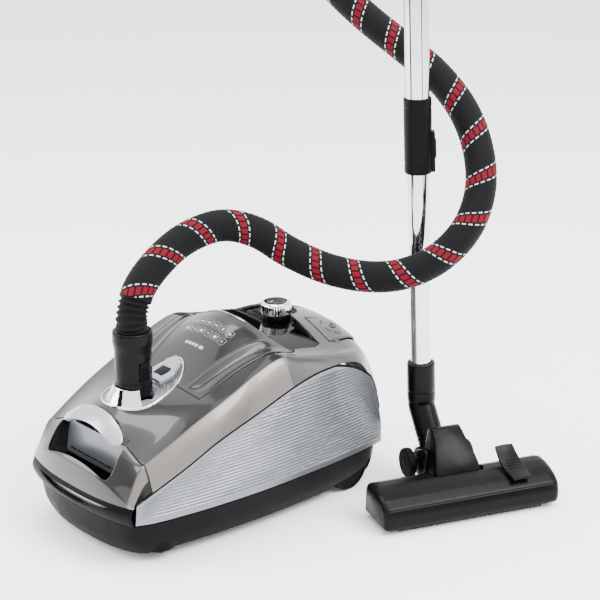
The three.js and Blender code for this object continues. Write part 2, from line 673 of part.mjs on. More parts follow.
function hose(group) {
  const { from, to, radius, bore } = CUFF;
  const cuff = turned([[bore, from], [radius - 1, from], [radius, from + 4], [radius, to - 16],
    [radius + 2, to - 14], [radius + 2, to - 2], [radius, to], [bore, to], [bore, from]]);
  const slots = [-1, 1].map((side) => box(12, 16, 26, side * radius, 0, INLET.z + 32));
  add(group, 'hose_cuff', cut(cuff, ...slots).translate(INLET.x, INLET.y, 0), BLACK);
  for (const [name, side] of [['left', -1], ['right', 1]]) {
    const latch = roundedBox(side * (radius - 1.5), 0, INLET.z + 32, 6, 15, 25, 2);
    add(group, `cuff_latch_${name}`, latch.translate(INLET.x, INLET.y, 0), BLACK);
  }
  const round = oval(2 * HOSE_RADIUS, 2 * HOSE_RADIUS, 10);
  add(group, 'hose', swept(HOSE_ROUTE, round, 56), TEXTILE);
}

// ---------------------------------------------------------------- wand, in its own axes from its foot
function wand(group) {
  const socket = turned([[15.4, 8], [19, 8], [19.5, 12], [19.5, CONNECTOR_TOP - 2], [18.5, CONNECTOR_TOP],
    [15.4, CONNECTOR_TOP], [15.4, 8]]);
  add(group, 'neck_connector', socket, BLACK);
  const lower = sleeve(LOWER_TUBE_RADIUS, LOWER_TUBE_RADIUS - TUBE_WALL, 9, LOWER_TUBE_TOP);
  add(group, 'lower_tube', lower, CHROME);
  const upperBore = UPPER_TUBE_RADIUS - TUBE_WALL;
  const upper = sleeve(UPPER_TUBE_RADIUS, upperBore, SLEEVE.from + 8, UPPER_TUBE_TOP);
  add(group, 'upper_tube', upper, CHROME);

  const { from, to } = SLEEVE;
  const ring = turned([[15.4, from], [18.5, from], [19.5, from + 3], [19.5, to - 3], [18.5, to],
    [17.4, to], [17.4, from + 7], [15.4, from + 7], [15.4, from]]);
  const spine = roundedBox(20.5, 0, from + 30, 5, 15, 58, 2);
  const track = box(8, 9, 36, 25, 0, from + 36);
  const side = new THREE.Group();
  side.rotation.z = THREE.MathUtils.degToRad(-21);
  group.add(side);
  add(side, 'tube_sleeve', cut(joined(ring, spine), track), BLACK);
  add(side, 'sleeve_button', roundedBox(23.4, 0, from + 34, 3.6, 8, 28, 1.5), BLACK);

  const bend = [[0, 0, UPPER_TUBE_TOP + 3], [0, 0, 940], [0, 3, 978], [0, 20, 1016], [0, 54, 1042],
    [0, 98, 1048], [0, HANDLE_END.y, HANDLE_END.z]];
  const grip = swept(bend, oval(40, 34, 12), 14);
  const collar = sleeve(20.5, UPPER_TUBE_RADIUS + 0.4, 848, UPPER_TUBE_TOP + 10);
  const vent = box(14, 20, 30, 0, 44, 1056);
  add(group, 'handle_grip', cut(joined(collar, grip), vent), BLACK);
  add(group, 'air_slider', roundedBox(0, 44, 1052, 12.5, 15, 16, 2), BLACK);
}

// ---------------------------------------------------------------- floor head, in its own axes
// Outline of the head across its long axis, as [depth, height], shrunk about its middle at the ends.
function headSection(scale, inset) {
  const outline = [[1, 8], [-1, 15], [1, 22], [8, 40], [14, 47], [22, 49.5], [45, 54], [62, 56], [70, 52],
    [74, 42], [75, 8]];
  const centre = new THREE.Vector2(37, 26);
  return outline.map(([y, z]) => {
    const p = new THREE.Vector2(y, z).sub(centre);
    const reach = p.length();
    const kept = Math.max(reach - inset, 1) / reach;
    return p.multiplyScalar(scale * kept).add(centre);
  }).reverse();
}

function floorHead(group) {
  const half = HEAD.length / 2;
  const ends = [[half, 0.72], [half - 3, 0.86], [half - 8, 0.95], [half - 16, 1]];
  const levels = [...ends.map(([x, s]) => [-x, s]), ...ends.reverse()];
  const outer = levels.map(([x, s]) => ({ z: x, points: headSection(s, 0) }));
  const inner = levels.map(([x, s]) => ({ z: x * (1 - 4 / half), points: headSection(s, 4) }));
  const cover = cut(
    crosswise(stack(outer)),
    crosswise(stack(inner)),
    box(248, 64, 30, 0, 37, -2),
    box(78, 60, 60, 0, 76, 46),
  );
  add(group, 'head_cover', cover, BLACK);
  const slot = box(206, 16, 20, 0, 30, 3);
  add(group, 'sole_plate', cut(roundedBox(0, 37, 5, 244, 44, 10, 8), slot), BLACK);
  add(group, 'brush_strip_front', box(226, 4, 12, 0, 9.5, 6.3), BRISTLE);
  add(group, 'brush_strip_rear', box(226, 4, 12, 0, 64.5, 6.3), BRISTLE);

  const rockerAt = (u, v) => {
    const flare = 2 * Math.sin(Math.PI * v);
    const x = mix(64 - flare, 92 + flare, u);
    return new THREE.Vector3(x, mix(6, 66, v), mix(52.7, 60.5, v) + 17 * v ** 3);
  };
  add(group, 'rocker_pedal', shell(rockerAt, 3, 8, 3.5), BLACK);
}

function neck(group) {
  const { y, z, radius, x } = WHEEL_AXIS;
  const front = [[50, 28], [50, 48], [60, 64], [84, 80], [96, 68], [96, 40], [88, 27]];
  const cheek = [...front.slice(0, 4), [112, 70], [136, 54], [138, 40], [126, 31], [88, 27]];
  const outlined = (points) => points.map(([a, b]) => new THREE.Vector2(a, b)).reverse();
  const slab = (points, from, to) => crosswise(prism(outlined(points), from, to));
  const hole = (r) => alongX(turned([[0, -60], [r, -60], [r, 60], [0, 60]], 16)).translate(0, y, z);
  const yoke = cut(joined(slab(front, -31, 31), slab(cheek, 30.5, 36), slab(cheek, -36, -30.5)), hole(3.5));
  add(group, 'neck_yoke', yoke, BLACK);

  const foot = new THREE.Vector3(WAND_FOOT.x, WAND_FOOT.y, WAND_FOOT.z);
  const axis = new THREE.Vector3(0, y, z);
  const rise = foot.clone().sub(axis).normalize();
  const turn = new THREE.Quaternion().setFromUnitVectors(new THREE.Vector3(0, 0, 1), rise);
  const collar = turned([[0, 4], [20, 4], [20, 34], [0, 34]], 20).applyQuaternion(turn).translate(0, y, z);
  const barrel = alongX(turned([[0, -29.5], [20, -29.5], [20, 29.5], [0, 29.5]])).translate(0, y, z);
  const pin = alongX(turned([[0, -53], [3, -53], [3, 53], [0, 53]], 12)).translate(0, y, z);
  add(group, 'neck_hub', joined(barrel, collar, pin), BLACK);
  const along = (d) => axis.clone().addScaledVector(rise, d).toArray();
  const bend = [along(34.4), along(52), along(68), [foot.x, foot.y, foot.z + 0.5],
    [foot.x - 0.3, foot.y, foot.z + 7.5]];
  add(group, 'neck_elbow', swept(bend, oval(37, 37, 16), 8), BLACK);

  for (const [name, side] of [['left', -1], ['right', 1]]) {
    const wheel = alongX(turned([[3.4, -6], [radius - 3, -6], [radius, -3], [radius, 3], [radius - 3, 6],
      [3.4, 6], [3.4, -6]]));
    add(group, `neck_wheel_${name}`, wheel.translate(side * x, y, z), BLACK);
  }
}

// The swivel cuff that joins the hose to the handle, laid along the handle's end.
function handleCuff(group) {
  const end = new THREE.Group();
  end.position.set(0, HANDLE_END.y, HANDLE_END.z);
  end.rotation.x = THREE.MathUtils.degToRad(-(90 + HANDLE_END.fall));
  group.add(end);
  const cuff = turned([[0, 0.8], [19.5, 0.8], [22.5, 6], [24, 50], [22, 56], [0, 56]]);
  add(end, 'handle_cuff', cuff, BLACK);
}

// ---------------------------------------------------------------- the whole cleaner
const cleaner = new THREE.Group();
const canister = new THREE.Group();
cleaner.add(canister);
const canisterPieces = [chassis, bumper, noseCover, latchHandle, lids, rearHood, knob, sidePanels,
  rearCover, inlet, dustChamber, drive, runningGear, hose];
for (const build of canisterPieces) build(canister);

const head = new THREE.Group();
head.position.set(HEAD.x, HEAD.y, 0);
head.rotation.z = THREE.MathUtils.degToRad(HEAD.turn);
cleaner.add(head);
floorHead(head);
neck(head);

const wandAxes = new THREE.Group();
wandAxes.position.set(WAND_FOOT.x, WAND_FOOT.y, WAND_FOOT.z);
wandAxes.rotation.y = WAND_FOOT.lean;
head.add(wandAxes);
wand(wandAxes);
handleCuff(wandAxes);

cleaner.updateMatrixWorld(true);
const bounds = new THREE.Box3();
cleaner.traverse((mesh) => {
  if (mesh.isMesh && mesh.name !== 'hose') bounds.union(new THREE.Box3().setFromObject(mesh, true));
});
const middle = bounds.getCenter(new THREE.Vector3());
cleaner.position.set(-middle.x, -middle.y, -bounds.min.z);

export default cleaner;
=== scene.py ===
# %% [markdown]
# # A canister vacuum cleaner
# The cleaner's frame, its rigid parts and its joints, already exists. These cells build its surfaces and
# finishes round that frame. Sizes are in millimetres in the axes of the part they belong to, and one function
# turns them into metres in the frame.

# %% The fixed frame
import json
import math

import bpy
import numpy as np
from mathutils import Matrix, Vector

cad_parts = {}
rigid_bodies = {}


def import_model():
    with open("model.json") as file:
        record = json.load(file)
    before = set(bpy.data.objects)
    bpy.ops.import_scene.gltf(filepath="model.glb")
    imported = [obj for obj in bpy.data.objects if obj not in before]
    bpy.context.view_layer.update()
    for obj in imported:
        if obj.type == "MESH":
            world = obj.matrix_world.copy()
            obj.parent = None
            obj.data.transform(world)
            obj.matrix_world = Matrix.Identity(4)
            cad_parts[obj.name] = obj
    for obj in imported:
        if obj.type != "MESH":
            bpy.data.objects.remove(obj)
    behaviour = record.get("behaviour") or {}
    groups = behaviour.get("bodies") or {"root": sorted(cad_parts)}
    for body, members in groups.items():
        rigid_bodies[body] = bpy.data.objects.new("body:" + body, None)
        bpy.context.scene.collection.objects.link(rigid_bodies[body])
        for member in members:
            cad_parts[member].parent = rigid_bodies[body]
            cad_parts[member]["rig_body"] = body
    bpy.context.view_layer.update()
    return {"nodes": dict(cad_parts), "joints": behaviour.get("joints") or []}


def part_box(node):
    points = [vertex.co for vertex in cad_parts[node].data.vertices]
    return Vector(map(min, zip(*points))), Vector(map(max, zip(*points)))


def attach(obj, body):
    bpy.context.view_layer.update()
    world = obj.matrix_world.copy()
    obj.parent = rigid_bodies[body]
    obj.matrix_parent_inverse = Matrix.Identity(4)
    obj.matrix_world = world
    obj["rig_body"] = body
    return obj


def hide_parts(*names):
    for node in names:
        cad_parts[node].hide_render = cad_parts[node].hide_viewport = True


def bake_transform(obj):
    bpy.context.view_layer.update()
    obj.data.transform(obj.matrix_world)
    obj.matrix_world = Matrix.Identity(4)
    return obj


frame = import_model()
joints = {joint["name"]: joint for joint in frame["joints"]}


# %% [markdown]
# ## Three sets of axes
# The canister is drawn with its middle plane at x = 0 and its nose towards -y. The floor head stands turned
# beside it, and the wand leans a little in the head's axes. Each set is a 3 by 3 turn and an origin, read
# from the frame's own boxes and joints, so a piece lands exactly where its rigid part is.

# %% Axes of the canister, the head and the wand
WHEEL_X, WHEEL_Y, WHEEL_Z = 119, 150, 34
CASTER_X, CASTER_Y = 94, -177
TAIL_Y = 234
PIVOT_Y, PIVOT_Z = 60, 34
LEAN = -0.04
WAND_FOOT = np.array([-5.0, 170.0, 112.0])

hood_low, hood_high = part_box("rear_hood")
canister_origin = 1000 * np.array([(hood_low[0] + hood_high[0]) / 2, hood_high[1] - TAIL_Y / 1000, 0])
CANISTER = (np.eye(3), canister_origin)

along = np.array(joints["head_rock"]["axis"])
along = along / np.linalg.norm(along)
rearward = np.array([-along[1], along[0], 0])
head_turn = np.column_stack([along, rearward, [0, 0, 1]])
pivot = 1000 * np.array(joints["head_rock"]["pos_m"])
HEAD = (head_turn, pivot - PIVOT_Y * rearward - np.array([0, 0, PIVOT_Z]))

lean_turn = np.array(Matrix.Rotation(LEAN, 3, "Y"))
WAND = (head_turn @ lean_turn, HEAD[0] @ WAND_FOOT + HEAD[1])


def placed(points, axes):
    """Millimetres in a part's axes become metres in the frame: turn, add the origin, divide by 1000."""
    return (np.asarray(points, float) @ axes[0].T + axes[1]) / 1000


def inside(axes, turn, origin):
    """A further set of axes, given inside another one."""
    return (axes[0] @ turn, axes[0] @ np.asarray(origin, float) + axes[1])


def moved(axes, place):
    """The same axes with their origin moved to a place given in them."""
    return inside(axes, np.eye(3), place)


print("head origin", np.round(HEAD[1], 2), "wand foot", np.round(WAND[1], 2))


# %% [markdown]
# ## Camera
# A long lens from the right front, a little above the canister, as a catalogue picture is taken. The camera
# and the hose come first, because the rest of the object stands round them. The light comes last.

# %% Camera
camera_data = bpy.data.cameras.new("camera")
camera_data.lens = 100
camera_data.sensor_width = 36
camera = bpy.data.objects.new("camera", camera_data)
camera.location = (1.6084, -1.4331, 1.0743)
camera.rotation_euler = (math.radians(70.5), 0, math.radians(48))
bpy.context.scene.collection.objects.link(camera)
bpy.context.scene.camera = camera
print("camera at", tuple(round(v, 3) for v in camera.location))


# %% The surface that carries a profile along the hose's route
# Centre line of the hose in the canister's axes, from the cuff to the handle.
HOSE_ROUTE = np.array([
    [0, -138, 286.8], [0, -137.9, 305], [-5, -121, 338], [-9, -84, 368], [-8, -36, 392], [4, 18, 402],
    [24, 62, 388], [56, 98, 358], [102, 131, 337], [150, 163, 331], [187, 194, 338], [217, 232, 361],
    [232, 270, 400], [228, 298, 448], [208, 312, 500], [174, 316, 549], [130, 306, 593], [82, 287, 628],
    [38, 269, 659], [1, 256, 687], [-32, 252, 711], [-66, 257, 741], [-105, 270, 788], [-136, 286, 846],
    [-153, 303, 914], [-154, 316, 984], [-137, 321, 1046], [-104, 316, 1091], [-66, 307.6, 1111.5],
    [-41.9, 298.2, 1121.1],
])


def smooth_route(points, step):
    """A centripetal Catmull-Rom curve: each span is a cubic whose end slopes use the square roots of the
    distances to its neighbours. It is then read again at even distances."""
    points = np.asarray(points, float)
    padded = np.vstack([2 * points[0] - points[1], points, 2 * points[-1] - points[-2]])
    gaps = np.sqrt(np.linalg.norm(np.diff(padded, axis=0), axis=1))
    t = np.linspace(0, 1, 40, endpoint=False)[:, None]
    spans = []
    for i in range(len(points) - 1):
        p0, p1, p2, p3 = padded[i:i + 4]
        d0, d1, d2 = gaps[i:i + 3]
        leave = d1 * ((p1 - p0) / d0 - (p2 - p0) / (d0 + d1) + (p2 - p1) / d1)
        arrive = d1 * ((p2 - p1) / d1 - (p3 - p1) / (d1 + d2) + (p3 - p2) / d2)
        cubic = 2 * p1 - 2 * p2 + leave + arrive
        square = -3 * p1 + 3 * p2 - 2 * leave - arrive
        spans.append(p1 + leave * t + square * t ** 2 + cubic * t ** 3)
    dense = np.vstack(spans + [points[-1:]])
    length = np.concatenate([[0], np.cumsum(np.linalg.norm(np.diff(dense, axis=0), axis=1))])
    even = np.linspace(0, length[-1], int(length[-1] / step) + 1)
    return np.column_stack([np.interp(even, length, dense[:, k]) for k in range(3)]), even


def carried_axes(path, first_side):
    """Two directions across the path at each point, turned as little as possible from one point to the
    next."""
    forward = np.gradient(path, axis=0)
    forward /= np.linalg.norm(forward, axis=1)[:, None]
    side = np.zeros_like(path)
    current = np.asarray(first_side, float)
    for i, ahead in enumerate(forward):
        current = current - ahead * (current @ ahead)
        current = current / np.linalg.norm(current)
        side[i] = current
    return side, np.cross(forward, side)


def swept(path, half_width, half_depth, sides, first_side=(1, 0, 0)):
    """Rings round a path: point = centre + side x half width x cos(angle) + other x half depth x
    sin(angle)."""
    side, other = carried_axes(path, first_side)
    angle = 2 * math.pi * np.arange(sides) / sides
    a = np.broadcast_to(half_width, len(path))[:, None, None] * np.cos(angle)[None, :, None]
    b = np.broadcast_to(half_depth, len(path))[:, None, None] * np.sin(angle)[None, :, None]
    return path[:, None, :] + a * side[:, None, :] + b * other[:, None, :]


def grid_faces(rows, columns, wrap_rows=False, wrap_columns=False):
    """Four corners of each cell of a grid of points, row by row."""
    i = np.arange(rows if wrap_rows else rows - 1)[:, None]
    j = np.arange(columns if wrap_columns else columns - 1)[None, :]
    up, over = (i + 1) % rows, (j + 1) % columns
    cells = [i * columns + j, i * columns + over, up * columns + over, up * columns + j]
    return np.stack([np.broadcast_to(c, (i.shape[0], j.shape[1])) for c in cells], -1).reshape(-1, 4)


def smooth_shading(mesh, angle):
    """Faces that meet at less than the angle are shaded as one surface."""
    mesh.polygons.foreach_set("use_smooth", np.ones(len(mesh.polygons), bool))
    mesh.set_sharp_from_angle(angle=math.radians(angle))


def new_piece(name, vertices, faces, axes=CANISTER, angle=35):
    """A mesh object at the origin, with its place in its vertices."""
    mesh = bpy.data.meshes.new(name)
    mesh.from_pydata(placed(np.reshape(vertices, (-1, 3)), axes).tolist(), [], faces)
    mesh.update()
    smooth_shading(mesh, angle)
    item = bpy.data.objects.new(name, mesh)
    bpy.context.scene.collection.objects.link(item)
    return item


def solid(name, rings, axes=CANISTER, angle=35):
    """A closed body from rings that turn anticlockwise seen from its last ring, with a flat face on each
    end."""
    rows, columns = rings.shape[:2]
    faces = grid_faces(rows, columns, wrap_columns=True).tolist()
    faces.append(list(range(columns))[::-1])
    faces.append(list(range((rows - 1) * columns, rows * columns)))
    return new_piece(name, rings, faces, axes, angle)


hose_path, hose_lengths = smooth_route(HOSE_ROUTE, 1.7)
HOSE_LENGTH = hose_lengths[-1]
print("hose length", round(HOSE_LENGTH), "mm in", len(hose_path), "rings")


# %% [markdown]
# ## Hose
# A corrugated tube in a braided textile sleeve. Close to the cuff the corrugation is bare, and further on
# the sleeve hides it but shows faint rings. The hose narrows slightly towards the handle. Its own map runs
# round the tube in turns and along it in metres, so that the woven band can wind round it as a helix.

# %% Hose
BARE_END = 40
RING_PITCH = 7
HOSE_SIDES = 48

bare = 1 - np.clip((hose_lengths - BARE_END) / 3, 0, 1)
ripple = np.cos(2 * math.pi * hose_lengths / RING_PITCH)
sleeve_radius = np.interp(hose_lengths, [0, HOSE_LENGTH], [22.6, 20.8]) + 0.18 * ripple
bare_radius = 20.2 + 1.5 * np.tanh(2 * ripple)
end_taper = 1 - 0.06 * np.clip((hose_lengths - HOSE_LENGTH + 12) / 12, 0, 1)
hose_radius = (bare * bare_radius + (1 - bare) * sleeve_radius) * end_taper
hose = solid("braided_hose", swept(hose_path, hose_radius, hose_radius, HOSE_SIDES, (1, 0, 0)))

turns = np.arange(HOSE_SIDES + 1) / HOSE_SIDES
corner_turn = np.stack([turns[:-1], turns[1:], turns[1:], turns[:-1]], -1)
corner_length = np.stack([hose_lengths[:-1], hose_lengths[:-1], hose_lengths[1:], hose_lengths[1:]],
                         -1) / 1000
hose_uv = np.zeros((len(hose_path) - 1, HOSE_SIDES, 4, 2))
hose_uv[..., 0] = corner_turn[None]
hose_uv[..., 1] = corner_length[:, None]
layer = hose.data.uv_layers.new(name="wound")
flat = np.zeros((len(hose.data.loops), 2))
flat[:hose_uv.size // 2] = hose_uv.reshape(-1, 2)
layer.data.foreach_set("uv", flat.ravel())
print("hose faces", len(hose.data.polygons))


# %% [markdown]
# ## Tools for the shapes
# Four ways to make a surface are enough: a sheet with thickness worked out on a grid, a stack of rings, a
# profile turned about an axis, and a plate with rounded corners and edges. Openings are cut with outlines.

# %% Lines and outlines
def curve(pairs):
    """A smooth line through (position, value) pairs: cubic pieces whose slope at a point is that between its
    neighbours. Past the ends it keeps the end value."""
    xs, ys = np.array(pairs, float).T
    before = np.maximum(np.arange(len(xs)) - 1, 0)
    after = np.minimum(np.arange(len(xs)) + 1, len(xs) - 1)
    slopes = (ys[after] - ys[before]) / (xs[after] - xs[before])

    def at(x):
        i = np.clip(np.searchsorted(xs, x, side="left") - 1, 0, len(xs) - 2)
        w = xs[i + 1] - xs[i]
        t = np.clip((x - xs[i]) / w, 0, 1)
        bend = ys[i] + (ys[i + 1] - ys[i]) * t * t * (3 - 2 * t)
        return bend + w * (t * (1 - t) ** 2 * slopes[i] + t * t * (t - 1) * slopes[i + 1])
    return at


def mix(a, b, t):
    """The value a share t of the way from a to b: a + (b - a) x t."""
    return a + (b - a) * t


def fade(low, high, x):
    """0 below low, 1 above high, and a smooth step between."""
    t = np.clip((x - low) / (high - low), 0, 1)
    return t * t * (3 - 2 * t)


def softened(outline, rounds=3):
    """Cuts every corner of a closed outline at a quarter and three quarters of each side, a few times
    over."""
    points = np.asarray(outline, float)
    for _ in range(rounds):
        after = np.roll(points, -1, axis=0)
        near, far = 0.75 * points + 0.25 * after, 0.25 * points + 0.75 * after
        points = np.stack([near, far], 1).reshape(-1, points.shape[1])
    return points


def eased(profile, reach=1.0):
    """A profile whose inner corners are replaced by small arcs that start up to the given reach before
    them."""
    points = np.asarray(profile, float)
    out = [points[0]]
    for before, corner, after in zip(points[:-2], points[1:-1], points[2:]):
        back, ahead = before - corner, after - corner
        r = min(reach, 0.45 * np.linalg.norm(back), 0.45 * np.linalg.norm(ahead))
        start = corner + back * r / max(np.linalg.norm(back), 1e-9)
        end = corner + ahead * r / max(np.linalg.norm(ahead), 1e-9)
        for t in (0, 0.25, 0.5, 0.75, 1):
            out.append((1 - t) ** 2 * start + 2 * t * (1 - t) * corner + t * t * end)
    out.append(points[-1])
    return np.array(out)


def rounded_rectangle(width, depth, radius, per_corner=8):
    """Corner arcs of a rectangle, anticlockwise from its right upper corner."""
    angle = np.linspace(0, math.pi / 2, per_corner)
    parts = []
    for quarter, (sx, sy) in enumerate([(1, 1), (-1, 1), (-1, -1), (1, -1)]):
        a = angle + quarter * math.pi / 2
        centre = [sx * (width / 2 - radius), sy * (depth / 2 - radius)]
        parts.append(np.column_stack([centre[0] + radius * np.cos(a), centre[1] + radius * np.sin(a)]))
    return np.vstack(parts)


def level(outline, z):
    """An outline laid at a height."""
    return np.column_stack([outline, np.full(len(outline), float(z))])


# %% Sheets, prisms, plates and turned bodies
def sheet_points(at, columns, rows):
    """Reads a surface function at even steps of u, across, and v, along."""
    u, v = np.meshgrid(np.linspace(0, 1, columns), np.linspace(0, 1, rows))
    return at(u, v)


def sheet(name, points, wall, axes=CANISTER, angle=35):
    """A sheet with thickness: the inner face is the outer one moved back along its normal, which is the cross
    product of its two directions, and a rim joins their edges."""
    across, along_sheet = np.gradient(points, axis=1), np.gradient(points, axis=0)
    normal = np.cross(across, along_sheet)
    normal /= np.maximum(np.linalg.norm(normal, axis=-1), 1e-9)[..., None]
    rows, columns = points.shape[:2]
    count = rows * columns
    outer = grid_faces(rows, columns)
    index = np.arange(count).reshape(rows, columns)
    loop = np.concatenate([index[0, :-1], index[:-1, -1], index[-1, :0:-1], index[:0:-1, 0]])
    after = np.roll(loop, -1)
    rim = np.stack([after, loop, loop + count, after + count], -1)
    faces = np.vstack([outer, outer[:, ::-1] + count, rim])
    vertices = np.concatenate([points.reshape(-1, 3), (points - wall * normal).reshape(-1, 3)])
    return new_piece(name, vertices, faces.tolist(), axes, angle)


def prism(outline, low, high):
    """Rings of an upright prism."""
    return np.stack([level(outline, low), level(outline, high)])


def plate(width, depth, height, radius, edge, z=0.0):
    """Rings of a flat block with rounded corners and an edge rounded by a quarter circle, its middle at z."""
    angle = np.linspace(0, math.pi / 2, 4)
    insets = edge * (1 - np.sin(angle))
    rises = edge * (1 - np.cos(angle))
    rings = []
    for inset, rise in zip(insets, rises):
        outline = rounded_rectangle(width - 2 * inset, depth - 2 * inset, max(radius - inset, 0.2))
        rings.append(level(outline, z - height / 2 + rise))
    for inset, rise in zip(insets[::-1], rises[::-1]):
        outline = rounded_rectangle(width - 2 * inset, depth - 2 * inset, max(radius - inset, 0.2))
        rings.append(level(outline, z + height / 2 - rise))
    return np.array(rings)


def turned_rings(profile, sides=64, wave=None):
    """Rings of a profile of (radius, height) pairs turned about z. wave adds to the radius round the turn."""
    angle = 2 * math.pi * np.arange(sides) / sides
    radius = np.maximum(profile[:, 0], 0.01)[:, None] + (0 if wave is None else wave(profile, angle))
    x, y = radius * np.cos(angle), radius * np.sin(angle)
    return np.stack([x, y, np.broadcast_to(profile[:, 1][:, None], x.shape)], -1)


def turned(name, profile, axes=CANISTER, sides=64, ease=0.8, wave=None, angle=35):
    """A solid body of revolution, from the foot of its axis to the top."""
    return solid(name, turned_rings(eased(profile, ease), sides, wave), axes, angle)


def hollow_turned(name, profile, axes=CANISTER, sides=64, ease=0.6, wave=None, angle=35):
    """A body of revolution with a hole through it: the profile closes on itself, up the outside and down the
    inside."""
    points = np.asarray(profile, float)
    middle = (points[0] + points[1]) / 2
    closed = eased(np.vstack([middle, points[1:], points[:1], middle]), ease)[:-1]
    rings = turned_rings(closed, sides, wave)
    faces = grid_faces(len(rings), sides, wrap_rows=True, wrap_columns=True).tolist()
    return new_piece(name, rings, faces, axes, angle)


def facing_x():
    """A turn that stands a body on its side: its z runs along x."""
    return np.array([[0, 0, 1], [1, 0, 0], [0, 1, 0]], float)


def facing_y():
    """A turn that lays a body back: its z runs along y."""
    return np.array([[1, 0, 0], [0, 0, 1], [0, -1, 0]], float)


def settle(item):
    """Works a piece's modifiers into its mesh."""
    evaluated = item.evaluated_get(bpy.context.evaluated_depsgraph_get())
    mesh = bpy.data.meshes.new_from_object(evaluated)
    item.modifiers.clear()
    item.data = mesh
    return item


def cut(item, cutters, operation="DIFFERENCE", angle=35):
    """Takes each cutter's space out of a piece, or with INTERSECT keeps only what lies in it."""
    for rings, axes in cutters:
        cutter = solid("cutter", np.asarray(rings, float), axes)
        modifier = item.modifiers.new("cut", "BOOLEAN")
        modifier.operation = operation
        modifier.object = cutter
        modifier.solver = "EXACT"
        settle(item)
        bpy.data.objects.remove(cutter)
    smooth_shading(item.data, angle)
    return item


def soft_edges(item, width, angle=35):
    """Rounds every edge sharper than the angle, so that it catches the light as a moulded edge does."""
    modifier = item.modifiers.new("edge", "BEVEL")
    modifier.width = width / 1000
    modifier.segments = 2
    modifier.limit_method = "ANGLE"
    modifier.angle_limit = math.radians(angle)
    modifier.use_clamp_overlap = True
    settle(item)
    smooth_shading(item.data, angle + 10)
    return item


print("shape tools ready")


# %% [markdown]
# ## Finishes
# Each finish is a shader network named for its real material. One function adds a node, and one turns a hex
# colour to linear light.

# %% Node and colour tools
def linear(code):
    """An sRGB hex colour as linear red, green, blue and alpha."""
    parts = np.array([int(code[i:i + 2], 16) for i in (0, 2, 4)]) / 255
    values = np.where(parts <= 0.04045, parts / 12.92, ((parts + 0.055) / 1.055) ** 2.4)
    return (*values.tolist(), 1.0)


def add(tree, kind, inputs=None, **settings):
    """Adds one node, with its settings, and its inputs given as values or as outputs to link."""
    node = tree.nodes.new(kind)
    for key, value in settings.items():
        setattr(node, key, value)
    for key, value in (inputs or {}).items():
        if isinstance(value, bpy.types.NodeSocket):
            tree.links.new(value, node.inputs[key])
        else:
            node.inputs[key].default_value = value
    return node


def finish(name, **shader_values):
    """A new material with one principled shader. Returns the material, its node tree and the shader."""
    material = bpy.data.materials.new(name)
    material.use_nodes = True
    tree = material.node_tree
    shader = tree.nodes["Principled BSDF"]
    for key, value in shader_values.items():
        shader.inputs[key.replace("_", " ").title().replace("Ior", "IOR")].default_value = value
    return material, tree, shader


def mottled(tree, shader, low, high, size, socket="Base Color", detail=3.0):
    """Lets a socket wander between two values in cloudy patches of the given size in millimetres."""
    place = add(tree, "ShaderNodeTexCoord")
    cloud = add(tree, "ShaderNodeTexNoise", {"Vector": place.outputs["Object"], "Scale": 1000 / size,
                                             "Detail": detail, "Roughness": 0.6})
    if socket == "Base Color":
        ramp = add(tree, "ShaderNodeMix", {"Factor": cloud.outputs["Fac"]}, data_type="RGBA")
        colour = ramp.outputs[2]
        ramp.inputs[6].default_value, ramp.inputs[7].default_value = low, high
        tree.links.new(colour, shader.inputs[socket])
        return colour
    span = add(tree, "ShaderNodeMapRange", {"Value": cloud.outputs["Fac"], "From Min": 0.3, "From Max": 0.7,
                                            "To Min": low, "To Max": high})
    tree.links.new(span.outputs["Result"], shader.inputs[socket])
    return span.outputs["Result"]


def grained(tree, shader, size, depth, detail=2.0):
    """A fine raised grain: noise of the given size in millimetres, raised by the given depth."""
    place = add(tree, "ShaderNodeTexCoord")
    grain = add(tree, "ShaderNodeTexNoise", {"Vector": place.outputs["Object"], "Scale": 1000 / size,
                                             "Detail": detail})
    bump = add(tree, "ShaderNodeBump", {"Height": grain.outputs["Fac"], "Strength": 0.18,
                                        "Distance": depth / 1000})
    tree.links.new(bump.outputs["Normal"], shader.inputs["Normal"])


# %% Plastics and rubber
def plastic(name, dark, light, roughness, grain, depth, **more):
    """Moulded plastic: a cloudy base colour, a wandering roughness and a fine eroded grain."""
    material, tree, shader = finish(name, **more)
    mottled(tree, shader, linear(dark), linear(light), 40)
    mottled(tree, shader, roughness[0], roughness[1], 14, "Roughness")
    grained(tree, shader, grain, depth)
    return material


# Moulded ABS with a spark-eroded satin grain; the real grain of 0.3 mm is drawn at 1.4 mm so that it shows.
black_abs = plastic("moulded_black_abs", "050506", "08080a", (0.34, 0.46), 1.4, 0.05, specular_ior_level=0.06)
# The same plastic with a polished mould, as on the floor head's cover and the neck.
satin_abs = plastic("polished_black_abs", "050506", "08080a", (0.24, 0.32), 3.0, 0.03,
                    specular_ior_level=0.09)
# Clear-coated black acrylic of the control panel.
acrylic = plastic("black_acrylic", "030304", "050506", (0.08, 0.13), 30.0, 0.02, specular_ior_level=0.16)
# Rubber of the caster tyres and seals, dull and slightly grey with dust. It also colours the dark strips of
# painted shade in the gap under the hood.
rubber = plastic("moulded_rubber", "070708", "0c0c0d", (0.6, 0.75), 2.0, 0.08, specular_ior_level=0.08)
# Pale grey ink of the small printed marks, raised by its own thickness.
ink = plastic("pad_printed_ink", "a6a7ab", "b4b5b9", (0.45, 0.55), 1.5, 0.01, ior=1.5)
# Dark grey satin cap on the knob, and the marks on the pedals.
grey_cap = plastic("satin_grey_cap", "3a3b40", "46474c", (0.22, 0.3), 1.5, 0.02, metallic=0.4)
print("plastics ready")
